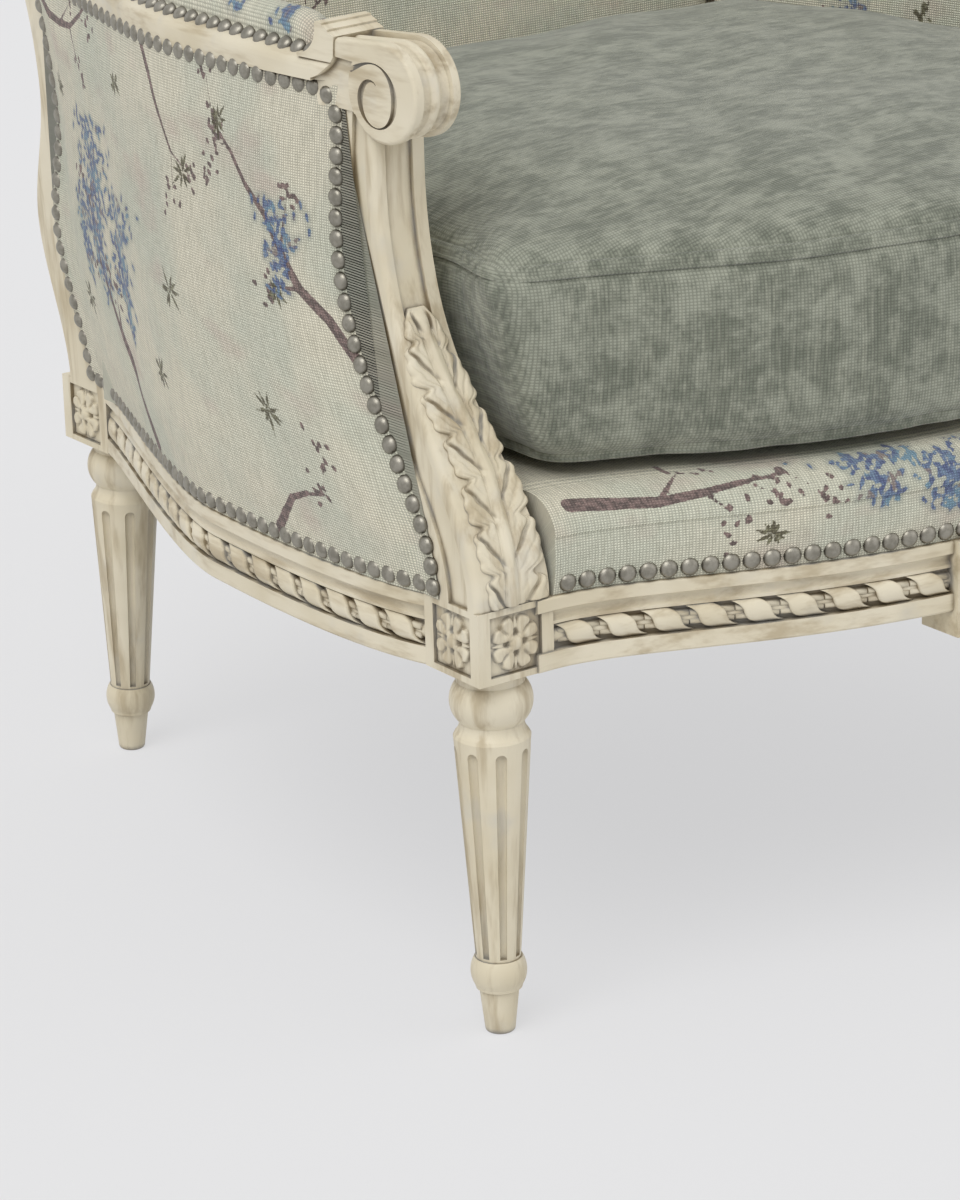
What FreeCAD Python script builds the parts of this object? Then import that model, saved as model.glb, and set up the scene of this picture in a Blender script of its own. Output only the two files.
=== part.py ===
import FreeCAD, Part
import math
import os

# Closed-arm upholstered armchair with a carved and painted wooden frame, turned and
# fluted legs, swept arm posts that end in scrolls, and one loose seat cushion.
# Millimetres, +Z up, the chair faces -Y and the sitter's left is +X.
# The floor is z = 0, x = 0 is the plane of symmetry, and y = 0 is half of the depth.

V = FreeCAD.Vector

# Overall sizes
DEPTH = 786.0             # front of the centre block to the rearmost point of the back
WIDTH = 700.0             # over the two front leg blocks
HEIGHT = 1000.0           # top of the crest
FRONT_BOW = 108.0         # front leg line to the foremost point of the front rail
BACK_RAKE = 138.6         # rear leg line to the rearmost point of the back
REAR_TAPER = 75.0         # how much closer to the centre each rear leg stands

# Legs
LEG_HEIGHT = 233.0        # floor to the underside of the leg blocks
BLOCK = 54.0              # side of a front leg block
REAR_BLOCK = 57.4         # side of a rear leg block
FOOT_TIP = 9.2
FOOT_TOP = 12.2
RING_RADIUS = 17.1
RING_LOW = 29.0
RING_HIGH = 49.0
SHAFT_LOW = 13.7
SHAFT_HIGH = 23.2
SHAFT_TOP = 191.0
NECK_RADIUS = 19.3
KNOB_RADIUS = 25.0
KNOB_CENTRE = 213.5
FLUTES = 8
FLUTE_START = 51.0
FLUTE_END = 182.0
FLUTE_LOW = 2.1           # half width of a flute at its lower end
FLUTE_HIGH = 3.5
REAR_LEG_RAKE = 2.9       # degrees that the rear legs lean back
ROSETTE_FIELD = 37.0      # sunk square on each outer face of a block
ROSETTE_DEPTH = 2.6

# Seat rails
RAIL_HEIGHT = 45.0
RAIL_THICK = 32.0
RAIL_FOOT = 11.3          # plain fillet along the bottom of a rail
BAND = 16.0               # height of the carved band
BAND_DEPTH = 6.0
COVE = 7.5
SIDE_BULGE = 15.0         # how far a side rail swells past the front block
FRONT_ENTRY = 60.0        # run of the front curve that stays square to the block
FRONT_SWEEP = 145.0       # run of the front curve that stays flat at the centre
BLOCK_PROUD = 4.0         # centre block past the front rail
CENTRE_BLOCK = 103.0      # width of the centre block
CENTRE_DROP = 16.0        # centre block below the rail
CENTRE_HOUSING = 14.0     # how deep the centre block is let into the rail

# Arm
ARM_RISE = 308.0          # top of the seat rail to the top of the wooden arm
ARM_THICK = 29.0
ARM_WIDTH = 40.0
ARM_EDGE = 8.0            # rounding along the arm
ARM_OVERHANG = 6.0        # arm outside the front block
ARM_REAR_FLARE = 24.0     # arm outside the rear block where it meets the back
ARM_SET_BACK = 46.0       # front leg line to the centre of the scroll
ARM_BULGE = 9.0
POST_TOP_WIDTH = 36.0
POST_BASE_WIDTH = 52.0
POST_BASE_DEPTH = 38.0
POST_SWEEP = 85.0         # how far the post sweeps back
POST_FLARE = 3.5          # top of the post outside its foot
POST_FILLET = 9.0         # flat edge left beside the hollow and the channel
POST_COVE = 2.6
POST_CORNER = 4.0         # rounding between the front and the outer face of the post
CHANNEL_START = 128.0     # seat rail to the foot of the channel, which carving covers
SCROLL_RADIUS = 29.5
SCROLL_WIDTH = 35.0
SCROLL_DROP = 14.0        # centre of the scroll below the top of the arm
SCROLL_TURN = 6.0         # degrees, the scroll follows the arm in plan
GROOVE_DEPTH = 2.5
GROOVE_WIDTH = 5.0        # of the spiral at the front of the scroll, where it is widest
GROOVE_TURNS = 1.18
EYE_BACK = 5.5            # centre of the spiral behind and below the centre of the drum
EYE_DROP = 3.0
NECK_HOLLOW = 4.0         # depth of the hollow between the scroll and the arm
LEDGE_START = 40.0        # centre of the scroll to the front of the ledge
LEDGE_WIDTH = 37.5
LEDGE_RISE = 20.5         # top of the ledge above the arm
LEDGE_DEPTH = 15.5
PAD_RISE = 21.0
PAD_MARGIN = 9.0          # wood left showing beside the arm pad
PAD_START = 63.0          # centre of the scroll to the front end of the arm pad
PAD_REAR = 75.4           # rear end of the arm pad to the rear leg line

# Back
STILE_WIDTH = 37.0
STILE_FLARE = 28.0        # stiles stand further out at the top than at the block
STILE_THICK = 28.0
STILE_SWELL = 20.0        # the bow of the lower stile
STILE_FOOT = 44.0         # depth of a stile where it stands on its block
BOWED_BACK = 282.0        # seat rail to where the straight lean of the back begins
CREST_DEPTH = 100.0       # top of the crest down to the joint with the stiles
CREST_WIDTH = 38.0
CREST_ARCH = 48.0         # top of the crest above its shoulders
BACK_PAD = 27.0

# Upholstery
FABRIC = 4.0              # thickness of a covered outside panel
PANEL_INSET = 1.5         # covering behind the face of the wood
PANEL_BULGE = 5.0
PAD_GAP = 12.0            # inside padding behind the face of the wood
SIDE_PAD = 27.0
DECK_RISE = 58.0          # seat rail to the top of the sprung seat
DECK_ROUND = 16.0
WEB_THICK = 1.8
WEB_WIDTH = 50.0
SOFT_CLEARANCE = 0.4      # between the loose cushion and what is round it

# Loose cushion
CUSHION_BELLY = 14.0      # top of the sprung seat to the lower seam
CUSHION_BOXING = 116.0    # from the lower seam to the upper seam
CUSHION_CROWN = 40.0      # top of the crown above the upper seam
WING_MARGIN = 37.0        # side of the leg block to the upper seam, before the arm posts
WING_MARGIN_LOW = 66.0    # the same at the lower seam
NECK_MARGIN = 47.0        # the same between the arm posts
CUSHION_GAP = 5.0         # between the cushion and the inside padding of the arms

# Places that follow from the sizes above
FRONT_LEG_Y = FRONT_BOW - DEPTH / 2
REAR_LEG_Y = DEPTH / 2 - BACK_RAKE
FRONT_LEG_X = WIDTH / 2 - BLOCK / 2
REAR_LEG_X = FRONT_LEG_X - REAR_TAPER
RAIL_BOTTOM = LEG_HEIGHT
RAIL_TOP = LEG_HEIGHT + RAIL_HEIGHT
FRONT_FACE_Y = FRONT_LEG_Y - BLOCK / 2 - 1.5
RAIL_FRONT_Y = BLOCK_PROUD - DEPTH / 2
SIDE_X = -WIDTH / 2
SIDE_FRONT_Y = FRONT_LEG_Y + BLOCK / 2
SIDE_REAR_Y = REAR_LEG_Y - REAR_BLOCK / 2
SIDE_REAR_X = -(REAR_LEG_X + REAR_BLOCK / 2)
ARM_HEIGHT = RAIL_TOP + ARM_RISE
SCROLL_Y = FRONT_LEG_Y + ARM_SET_BACK
SCROLL_Z = ARM_HEIGHT - SCROLL_DROP
ARM_BOTTOM = ARM_HEIGHT - ARM_THICK
ARM_X = SIDE_X - ARM_OVERHANG
ARM_REAR_X = SIDE_REAR_X - ARM_REAR_FLARE
REBATE_TOP = ARM_HEIGHT - 12.0
BACK_START = RAIL_TOP + BOWED_BACK
CREST_SPRING = HEIGHT - CREST_DEPTH
SHOULDER = HEIGHT - CREST_ARCH
LEAN = (DEPTH / 2 - (REAR_LEG_Y + 22.0)) / (HEIGHT - BACK_START)
DECK_HEIGHT = RAIL_TOP + DECK_RISE
CUSHION_BASE = DECK_HEIGHT + CUSHION_BELLY
CUSHION_WING = WIDTH / 2 - WING_MARGIN
CUSHION_WING_LOW = WIDTH / 2 - WING_MARGIN_LOW
CUSHION_NECK = WIDTH / 2 - NECK_MARGIN


def bezier(points):
    """Curve through its first and last point, drawn towards the others."""
    curve = Part.BezierCurve()
    curve.setPoles(points)
    return curve.toShape()


def line(a, b):
    return Part.makeLine(a, b)


def arc(a, middle, b):
    return Part.Arc(a, middle, b).toShape()


def face(edges):
    return Part.Face(Part.Wire(edges))


def box(low, high):
    return Part.makeBox(high[0] - low[0], high[1] - low[1], high[2] - low[2], V(*low))


def mirrored(shape):
    return shape.mirror(V(0, 0, 0), V(1, 0, 0))


def at(y, z):
    """A point of a side view, in the plane x = 0."""
    return V(0, y, z)


def across(side_view, x_low, x_high):
    """A side view drawn in the plane x = 0, made solid between two values of x."""
    solid = side_view.extrude(V(x_high - x_low, 0, 0))
    solid.translate(V(x_low, 0, 0))
    return solid


def through(front_view):
    """A front view drawn in the plane y = 0, made solid over more than the depth."""
    solid = front_view.extrude(V(0, 2 * DEPTH, 0))
    solid.translate(V(0, -DEPTH, 0))
    return solid


def largest(shape):
    return max(shape.Solids, key=lambda solid: solid.Volume)


def cut(shape, *tools):
    for tool in tools:
        shape = shape.cut(tool)
    return largest(shape)


# Plan curves. The side of the chair swells behind the front leg and then draws in
# towards the rear leg, so both the seat rail and the arm follow the same two curves.

def side_points(front, rear, bulge):
    """Eight control points of a side curve, from front to rear."""
    front_x, front_y = front
    rear_x, rear_y = rear
    run = rear_y - front_y
    narrow = rear_x - front_x
    shares = [
        (front_x, 0.0),
        (front_x - 1.2 * bulge, 0.11),
        (front_x - bulge, 0.315),
        (front_x - 0.77 * bulge, 0.445),
        (front_x - 0.77 * bulge, 0.445),
        (front_x - 0.54 * bulge, 0.563),
        (rear_x - 0.22 * narrow, 0.882),
        (rear_x, 1.0),
    ]
    return [(x, front_y + share * run) for x, share in shares]


RAIL_PLAN = side_points((SIDE_X, SIDE_FRONT_Y), (SIDE_REAR_X, SIDE_REAR_Y), SIDE_BULGE)
ARM_PLAN = side_points((ARM_X, SCROLL_Y), (ARM_REAR_X, REAR_LEG_Y - 4.0), ARM_BULGE)


def blended(height, inset):
    """The side curve at a height between the seat rail and the arm."""
    share = (height - RAIL_TOP) / (REBATE_TOP - RAIL_TOP)
    pairs = zip(RAIL_PLAN, ARM_PLAN)
    return [(a[0] + share * (b[0] - a[0]) + inset, a[1] + share * (b[1] - a[1])) for a, b in pairs]


def side_edges(points, z, reach=0.0):
    """Edges of a side curve at height z, run on straight at both ends by reach."""
    p = [V(x, y, z) for x, y in points]
    edges = [bezier(p[:4]), bezier(p[4:])]
    if reach:
        start = p[0] + (p[0] - p[1]).normalize() * reach
        end = p[7] + (p[7] - p[6]).normalize() * reach
        edges = [line(start, p[0])] + edges + [line(p[7], end)]
    return edges


def ends(edges):
    return edges[0].firstVertex().Point, edges[-1].lastVertex().Point


def swept(path_edges, section, inward):
    """Sweep a closed section of (inset, height) points and arcs along a level path."""
    start = path_edges[0].valueAt(path_edges[0].FirstParameter)
    side = V(*inward).normalize()

    def place(point):
        return V(start.x + side.x * point[0], start.y + side.y * point[0], point[1])

    edges = []
    for step in section:
        if len(step) == 2:
            edges.append(line(place(step[0]), place(step[1])))
        else:
            edges.append(arc(place(step[0]), place(step[1]), place(step[2])))
    profile = Part.Wire(edges)
    return Part.Wire(path_edges).makePipeShell([profile], True, False)


def inward_of(edge):
    """Horizontal direction to the right of a path's start, square to it."""
    tangent = edge.tangentAt(edge.FirstParameter)
    return (tangent.y, -tangent.x, 0)


# Turned legs

def turned_leg():
    """One turned leg on the Z axis, floor to block, before its flutes are cut."""
    neck_z = SHAFT_TOP + 9.0
    knob_half = KNOB_CENTRE - neck_z - 1.5
    knob_top = KNOB_CENTRE + knob_half
    knob_root = KNOB_RADIUS - 4.5
    ring_mid = (RING_LOW + RING_HIGH) / 2
    edges = [
        line(V(0, 0, 0), V(FOOT_TIP - 2, 0, 0)),
        arc(V(FOOT_TIP - 2, 0, 0), V(FOOT_TIP - 0.6, 0, 0.6), V(FOOT_TIP, 0, 2)),
        line(V(FOOT_TIP, 0, 2), V(FOOT_TOP, 0, RING_LOW - 1)),
        line(V(FOOT_TOP, 0, RING_LOW - 1), V(RING_RADIUS - 3, 0, RING_LOW)),
        line(V(RING_RADIUS - 3, 0, RING_LOW), V(RING_RADIUS - 2.5, 0, RING_LOW + 2)),
        arc(V(RING_RADIUS - 2.5, 0, RING_LOW + 2), V(RING_RADIUS, 0, ring_mid + 1),
            V(RING_RADIUS - 2.5, 0, RING_HIGH)),
        line(V(RING_RADIUS - 2.5, 0, RING_HIGH), V(SHAFT_LOW, 0, RING_HIGH)),
        line(V(SHAFT_LOW, 0, RING_HIGH), V(SHAFT_HIGH, 0, SHAFT_TOP)),
        line(V(SHAFT_HIGH, 0, SHAFT_TOP), V(SHAFT_HIGH - 1, 0, SHAFT_TOP + 2)),
        arc(V(SHAFT_HIGH - 1, 0, SHAFT_TOP + 2), V(NECK_RADIUS + 0.9, 0, SHAFT_TOP + 5),
            V(NECK_RADIUS, 0, neck_z)),
        line(V(NECK_RADIUS, 0, neck_z), V(knob_root, 0, neck_z + 1.5)),
        arc(V(knob_root, 0, neck_z + 1.5), V(KNOB_RADIUS, 0, KNOB_CENTRE),
            V(knob_root, 0, knob_top)),
        line(V(knob_root, 0, knob_top), V(knob_root, 0, LEG_HEIGHT)),
        line(V(knob_root, 0, LEG_HEIGHT), V(0, 0, LEG_HEIGHT)),
        line(V(0, 0, LEG_HEIGHT), V(0, 0, 0)),
    ]
    return face(edges).revolve(V(0, 0, 0), V(0, 0, 1), 360)


def flute():
    """A tapered round-ended groove laid along the slope of the shaft."""
    slope = (SHAFT_HIGH - SHAFT_LOW) / (SHAFT_TOP - RING_HIGH)
    low = V(SHAFT_LOW + slope * (FLUTE_START - RING_HIGH), 0, FLUTE_START)
    high = V(SHAFT_LOW + slope * (FLUTE_END - RING_HIGH), 0, FLUTE_END)
    run = high - low
    groove = Part.makeCone(FLUTE_LOW, FLUTE_HIGH, run.Length, low, run)
    return groove.fuse(Part.makeSphere(FLUTE_HIGH, high)).removeSplitter()


def fluted_leg():
    leg = turned_leg()
    tool = flute()
    cuts = []
    for number in range(FLUTES):
        copy = tool.copy()
        copy.rotate(V(0, 0, 0), V(0, 0, 1), (number + 0.5) * 360.0 / FLUTES)
        cuts.append(copy)
    return leg.cut(cuts)


def block(x, y, side, faces):
    """Square block over a leg, with a sunk field on each outer face it is given."""
    half = side / 2
    solid = box((x - half, y - half, RAIL_BOTTOM), (x + half, y + half, RAIL_TOP))
    middle = (RAIL_BOTTOM + RAIL_TOP) / 2
    field = ROSETTE_FIELD / 2
    for dx, dy in faces:
        centre = V(x + dx * half, y + dy * half, middle)
        reach = V(field, ROSETTE_DEPTH, field) if dy else V(ROSETTE_DEPTH, field, field)
        solid = solid.cut(box(tuple(centre - reach), tuple(centre + reach)))
    return solid


def front_leg():
    leg = fluted_leg()
    leg.translate(V(-FRONT_LEG_X, FRONT_LEG_Y, 0))
    head = block(-FRONT_LEG_X, FRONT_LEG_Y, BLOCK, [(-1, 0), (0, -1)])
    return leg.fuse(head).removeSplitter()


def rear_leg():
    """As the front leg, but leaning back, with its foot cut level."""
    leg = fluted_leg()
    leg.rotate(V(0, 0, LEG_HEIGHT), V(1, 0, 0), REAR_LEG_RAKE)
    leg.translate(V(-REAR_LEG_X, REAR_LEG_Y, 0))
    floor = box((-WIDTH, -DEPTH, -20), (WIDTH, DEPTH, 0))
    head = block(-REAR_LEG_X, REAR_LEG_Y, REAR_BLOCK, [(-1, 0), (0, 1)])
    return leg.cut(floor).fuse(head).removeSplitter()


# Seat rails

def rail_section():
    """Moulded section: plain foot, carved band in a channel, cove and top fillet."""
    foot = RAIL_BOTTOM + RAIL_FOOT
    band_top = foot + BAND
    cove_top = band_top + 2.0 + COVE
    root = BAND_DEPTH
    return [
        ((RAIL_THICK, RAIL_BOTTOM), (0.8, RAIL_BOTTOM)),
        ((0.8, RAIL_BOTTOM), (0, RAIL_BOTTOM + 1.2)),
        ((0, RAIL_BOTTOM + 1.2), (0, foot)),
        ((0, foot), (root, foot)),
        ((root, foot), (root, foot + 3)),
        ((root, foot + 3), (2.6, foot + BAND / 2), (root, band_top - 3)),
        ((root, band_top - 3), (root, band_top)),
        ((root, band_top), (2.6, band_top)),
        ((2.6, band_top), (2.6, band_top + 2.0)),
        ((2.6, band_top + 2.0), (4.4, band_top + 6.0), (1.6, cove_top)),
        ((1.6, cove_top), (0, cove_top)),
        ((0, cove_top), (0, RAIL_TOP - 1.5)),
        ((0, RAIL_TOP - 1.5), (0.45, RAIL_TOP - 0.45), (1.5, RAIL_TOP)),
        ((1.5, RAIL_TOP), (RAIL_THICK, RAIL_TOP)),
        ((RAIL_THICK, RAIL_TOP), (RAIL_THICK, RAIL_BOTTOM)),
    ]


def front_points():
    """Control points of the left half of the front rail, block to centre."""
    start_x = -(FRONT_LEG_X - BLOCK / 2)
    return [
        V(start_x, FRONT_FACE_Y, 0),
        V(start_x + FRONT_ENTRY, FRONT_FACE_Y, 0),
        V(-FRONT_SWEEP, RAIL_FRONT_Y, 0),
        V(0, RAIL_FRONT_Y, 0),
    ]


def front_path(reach):
    left = front_points()
    right = [V(-p.x, p.y, 0) for p in reversed(left)]
    step = V(reach, 0, 0)
    run_in = line(left[0] - step, left[0])
    run_out = line(right[3], right[3] + step)
    return [run_in, bezier(left), bezier(right), run_out]


def front_rail(blocks, centre):
    path = front_path(12.0)
    rail = swept(path, rail_section(), (0, 1, 0))
    return cut(rail, *blocks, centre)


def centre_block():
    """Block at the middle of the front rail, its face slightly crowned."""
    half = CENTRE_BLOCK / 2
    front = -DEPTH / 2
    back = RAIL_FRONT_Y + RAIL_THICK
    housing = box((-half, RAIL_FRONT_Y + CENTRE_HOUSING, RAIL_BOTTOM), (half, back, RAIL_TOP))
    edges = [
        arc(V(-half, front + 3, 0), V(0, front, 0), V(half, front + 3, 0)),
        line(V(half, front + 3, 0), V(half, back, 0)),
        line(V(half, back, 0), V(-half, back, 0)),
        line(V(-half, back, 0), V(-half, front + 3, 0)),
    ]
    solid = face(edges).extrude(V(0, 0, RAIL_HEIGHT + CENTRE_DROP))
    solid.translate(V(0, 0, RAIL_BOTTOM - CENTRE_DROP))
    margin = 8.0
    field = box((margin - half, front - 1, RAIL_BOTTOM - CENTRE_DROP + margin),
                (half - margin, front + 3 + ROSETTE_DEPTH, RAIL_TOP - margin))
    return cut(solid, field, housing)


def side_rail(blocks):
    path = side_edges(RAIL_PLAN, 0, 12.0)
    rail = swept(path, rail_section(), inward_of(path[0]))
    return cut(rail, *blocks)


def back_rail(blocks):
    y = REAR_LEG_Y + REAR_BLOCK / 2
    path = [line(V(REAR_LEG_X, y, 0), V(-REAR_LEG_X, y, 0))]
    rail = swept(path, rail_section(), (0, -1, 0))
    return cut(rail, *blocks)


# Arm posts, swept back from the block and up to the scroll

def post_front_edge():
    base = FRONT_LEG_Y - BLOCK / 2 + 1
    top = base + POST_SWEEP
    bend = RAIL_TOP + 242
    curve = bezier([at(base, RAIL_TOP), at(base - 4, RAIL_TOP + 60), at(top, bend - 120), at(top, bend)])
    return [curve, line(at(top, bend), at(top, SCROLL_Z))]


def post_rear_edge(shift):
    """Rear edge of the post, moved back by shift."""
    base = FRONT_LEG_Y - BLOCK / 2 + POST_BASE_DEPTH + shift
    neck = base + POST_SWEEP - 1
    knee = RAIL_TOP + 202
    lower = bezier([at(base, RAIL_TOP), at(base, RAIL_TOP + 67), at(neck, knee - 95), at(neck, knee)])
    upper = bezier([at(neck, knee), at(neck, knee + 25), at(neck - 5, knee + 50), at(neck - 10, SCROLL_Z)])
    return [lower, upper]


def side_region(front_edges, rear_edges):
    """Closed side view between two edges that both run upwards."""
    low = line(ends(front_edges)[0], ends(rear_edges)[0])
    high = line(ends(front_edges)[1], ends(rear_edges)[1])
    return face([low] + rear_edges + [high] + list(reversed(front_edges)))


def arm_post(arm, panel):
    backing = 12.0
    side_view = side_region(post_front_edge(), post_rear_edge(backing))
    outer_top = SIDE_X - POST_FLARE
    inner_base = SIDE_X + POST_BASE_WIDTH
    inner_top = outer_top + POST_TOP_WIDTH
    waist = RAIL_TOP + 175
    front_view = face([
        line(V(SIDE_X, 0, RAIL_TOP), V(inner_base, 0, RAIL_TOP)),
        bezier([V(inner_base, 0, RAIL_TOP), V(inner_base, 0, RAIL_TOP + 60), V(inner_top, 0, waist - 70),
                V(inner_top, 0, waist)]),
        line(V(inner_top, 0, waist), V(inner_top, 0, SCROLL_Z)),
        line(V(inner_top, 0, SCROLL_Z), V(outer_top, 0, SCROLL_Z)),
        line(V(outer_top, 0, SCROLL_Z), V(SIDE_X, 0, RAIL_TOP)),
    ])
    post = across(side_view, SIDE_X - 20, inner_base + 5).common(through(front_view))
    corner = [edge for edge in post.Edges if on_corner(edge)]
    post = post.makeFillet(POST_CORNER, corner)
    post = post.cut(post_cove()).cut(post_channel(inner_top))
    return cut(post, arm, panel)


def on_corner(edge):
    """True for the long edges where the front and the outer face of a post meet."""
    middle = edge.valueAt((edge.FirstParameter + edge.LastParameter) / 2)
    rises = abs(edge.valueAt(edge.LastParameter).z - edge.valueAt(edge.FirstParameter).z)
    front = FRONT_LEG_Y - BLOCK / 2 + 1 + POST_SWEEP * (middle.z - RAIL_TOP) / (SCROLL_Z - RAIL_TOP)
    return rises > 20.0 and middle.x < SIDE_X + 1.0 and middle.y < front + 12.0


def post_cove():
    """Long hollow down the outer face of the post, inside its front and rear edges."""
    front = [edge.translated(V(0, POST_FILLET, 0)) for edge in post_front_edge()]
    rear = post_rear_edge(-POST_FILLET)
    reach = SIDE_X - 20
    foot = SIDE_X + POST_COVE
    head = foot - POST_FLARE
    outside = through(face([
        line(V(reach, 0, RAIL_TOP), V(foot, 0, RAIL_TOP)),
        line(V(foot, 0, RAIL_TOP), V(head, 0, SCROLL_Z)),
        line(V(head, 0, SCROLL_Z), V(reach, 0, SCROLL_Z)),
        line(V(reach, 0, SCROLL_Z), V(reach, 0, RAIL_TOP)),
    ]))
    return across(side_region(front, rear), reach, foot).common(outside)


def post_channel(inner_top):
    """Flat channel down the upper front face, between two fillets."""
    front = [edge.translated(V(0, -10, 0)) for edge in post_front_edge()]
    rear = [edge.translated(V(0, 3, 0)) for edge in post_front_edge()]
    outer_top = inner_top - POST_TOP_WIDTH
    solid = across(side_region(front, rear), outer_top + POST_FILLET, inner_top - POST_FILLET + 1)
    return solid.common(box((-WIDTH, -DEPTH, RAIL_TOP + CHANNEL_START), (WIDTH, DEPTH, HEIGHT)))


# Arms: a bar that follows the side curve, a raised ledge and a scroll at its front

def arm_section():
    r = ARM_EDGE
    bend = r * (1 - math.sqrt(0.5))
    w = ARM_WIDTH
    low = ARM_BOTTOM
    top = ARM_HEIGHT
    return [
        ((0, low), (0, top - r)),
        ((0, top - r), (bend, top - bend), (r, top)),
        ((r, top), (w - r, top)),
        ((w - r, top), (w - bend, top - bend), (w, top - r)),
        ((w, top - r), (w, low)),
        ((w, low), (0, low)),
    ]


def arm_bar():
    path = side_edges(ARM_PLAN, 0, 14.0)
    return swept(path, arm_section(), inward_of(path[0]))


def strip_moulding():
    """Moulded top of the scroll from side to side: rim, hollow, bead, hollow, rim."""
    r = SCROLL_RADIUS
    w = SCROLL_WIDTH
    middle = w / 2
    return [
        arc(V(0, 0, r - 2), V(0.6, 0, r - 0.6), V(2, 0, r)),
        line(V(2, 0, r), V(6.5, 0, r)),
        line(V(6.5, 0, r), V(7, 0, r - 3)),
        arc(V(7, 0, r - 3), V(middle - 7, 0, r - 5), V(middle - 3.4, 0, r - 2.6)),
        arc(V(middle - 3.4, 0, r - 2.6), V(middle, 0, r - 0.9), V(middle + 3.4, 0, r - 2.6)),
        arc(V(middle + 3.4, 0, r - 2.6), V(middle + 7, 0, r - 5), V(w - 7, 0, r - 3)),
        line(V(w - 7, 0, r - 3), V(w - 6.5, 0, r)),
        line(V(w - 6.5, 0, r), V(w - 2, 0, r)),
        arc(V(w - 2, 0, r), V(w - 0.6, 0, r - 0.6), V(w, 0, r - 2)),
    ]


def under_strip(low):
    """Section of the strip, closed by a flat underside at the height low."""
    w = SCROLL_WIDTH
    top = SCROLL_RADIUS - 2
    near = line(V(0, 0, low), V(0, 0, top))
    far = line(V(w, 0, top), V(w, 0, low))
    return face([near] + strip_moulding() + [far, line(V(w, 0, low), V(0, 0, low))])


def spiral(width):
    """Edge of the spiral groove, moved in towards the eye by up to width."""
    steps = 20
    entry = 9.0
    wide = 18.8
    narrow = 7.5
    points = []
    for step in range(steps + 1):
        share = step / steps
        angle = math.radians(150 - 360 * GROOVE_TURNS * share)
        taper = 0.58 + 0.42 * math.cos(2 * angle)
        radius = wide + entry * math.exp(-16 * share) - (wide - narrow) * share ** 5 - width * taper
        points.append(V(0, EYE_BACK - radius * math.cos(angle), radius * math.sin(angle) - EYE_DROP))
    curve = Part.BSplineCurve()
    curve.interpolate(points)
    return curve.toShape()


def volute_groove():
    """Spiral groove between the strip of the scroll and its eye."""
    a = spiral(0.0)
    b = spiral(GROOVE_WIDTH)
    inner_end = line(a.lastVertex().Point, b.lastVertex().Point)
    outer_end = line(b.firstVertex().Point, a.firstVertex().Point)
    return face([a, inner_end, b, outer_end]).extrude(V(GROOVE_DEPTH, 0, 0))


def neck_hollow():
    """Hollow in the outer face between the scroll's strip and the side of the arm."""
    low = SCROLL_DROP - ARM_THICK - 30.0
    rear = LEDGE_START + 21.0
    region = across(face([
        line(at(15, low), at(15, 14.5)),
        line(at(15, 14.5), at(LEDGE_START + 0.5, 16)),
        arc(at(LEDGE_START + 0.5, 16), at(LEDGE_START + 7.5, 8), at(rear, 1)),
        line(at(rear, 1), at(rear, low)),
        line(at(rear, low), at(15, low)),
    ]), -20, 20)
    half = 24.0
    radius = (half ** 2 + NECK_HOLLOW ** 2) / (2 * NECK_HOLLOW)
    centre = V(NECK_HOLLOW - radius, LEDGE_START + 1, low)
    bowl = Part.makeCylinder(radius, 120.0, centre, V(0, 0, 1))
    drum = Part.makeCylinder(SCROLL_RADIUS - 0.5, 60.0, V(-30, 0, 0), V(1, 0, 0))
    return largest(region.common(bowl).cut(drum))


def ledge():
    """Stepped plate that ends the arm pad and sweeps down to the arm behind it."""
    front = LEDGE_START
    rear = front + LEDGE_DEPTH
    top = SCROLL_DROP + LEDGE_RISE
    step = LEDGE_DEPTH / 3
    foot = rear + 18.0
    base = SCROLL_DROP - 2.0
    return across(face([
        line(at(front + 1, base), at(front, top - 10)),
        line(at(front, top - 10), at(front - 0.5, top - 7)),
        line(at(front - 0.5, top - 7), at(front + step, top - 4.8)),
        line(at(front + step, top - 4.8), at(front + step, top - 3.6)),
        line(at(front + step, top - 3.6), at(front + 2 * step, top - 1.6)),
        line(at(front + 2 * step, top - 1.6), at(front + 2 * step, top - 0.4)),
        line(at(front + 2 * step, top - 0.4), at(rear, top)),
        line(at(rear, top), at(rear + 1, top - 1.5)),
        arc(at(rear + 1, top - 1.5), at(rear + 6, SCROLL_DROP + 5), at(foot, SCROLL_DROP)),
        line(at(foot, SCROLL_DROP), at(foot, base)),
        line(at(foot, base), at(front + 1, base)),
    ]), -1.0, LEDGE_WIDTH - 1.0)


def scroll_head():
    """Scroll, the neck that joins it to the arm and the ledge that ends the arm pad."""
    w = SCROLL_WIDTH
    low = SCROLL_DROP - ARM_THICK
    back = LEDGE_START + 17.0
    run = V(0, back, -0.07 * back)
    drum = under_strip(0.0).revolve(V(0, 0, 0), V(1, 0, 0), 360)
    strip = under_strip(-5.0).extrude(run)
    neck = across(face([
        line(at(10, 0), at(back, 0)),
        line(at(back, 0), at(back, low)),
        line(at(back, low), at(22, low)),
        line(at(22, low), at(10, 0)),
    ]), 0, w)
    groove = volute_groove()
    far_groove = groove.translated(V(w - GROOVE_DEPTH, 0, 0))
    return drum.fuse([strip, neck, ledge()]).cut([groove, far_groove])


def in_place(shape):
    """Turns a shape drawn about the scroll's centre and sets it on its post."""
    shape.rotate(V(0, 0, 0), V(0, 0, 1), SCROLL_TURN)
    shape.translate(V(ARM_X + 1.5, SCROLL_Y, SCROLL_Z))
    return shape


def arm_rail(panel, stile):
    bar = arm_bar().cut(box((-WIDTH, -DEPTH, 0), (0, SCROLL_Y + 30, HEIGHT)))
    arm = bar.fuse(in_place(scroll_head())).removeSplitter()
    return cut(arm, in_place(neck_hollow()), side_rebate(), panel, stile)


# Padded arm top: a low crowned roll on the arm, rounded down at both ends

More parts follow.
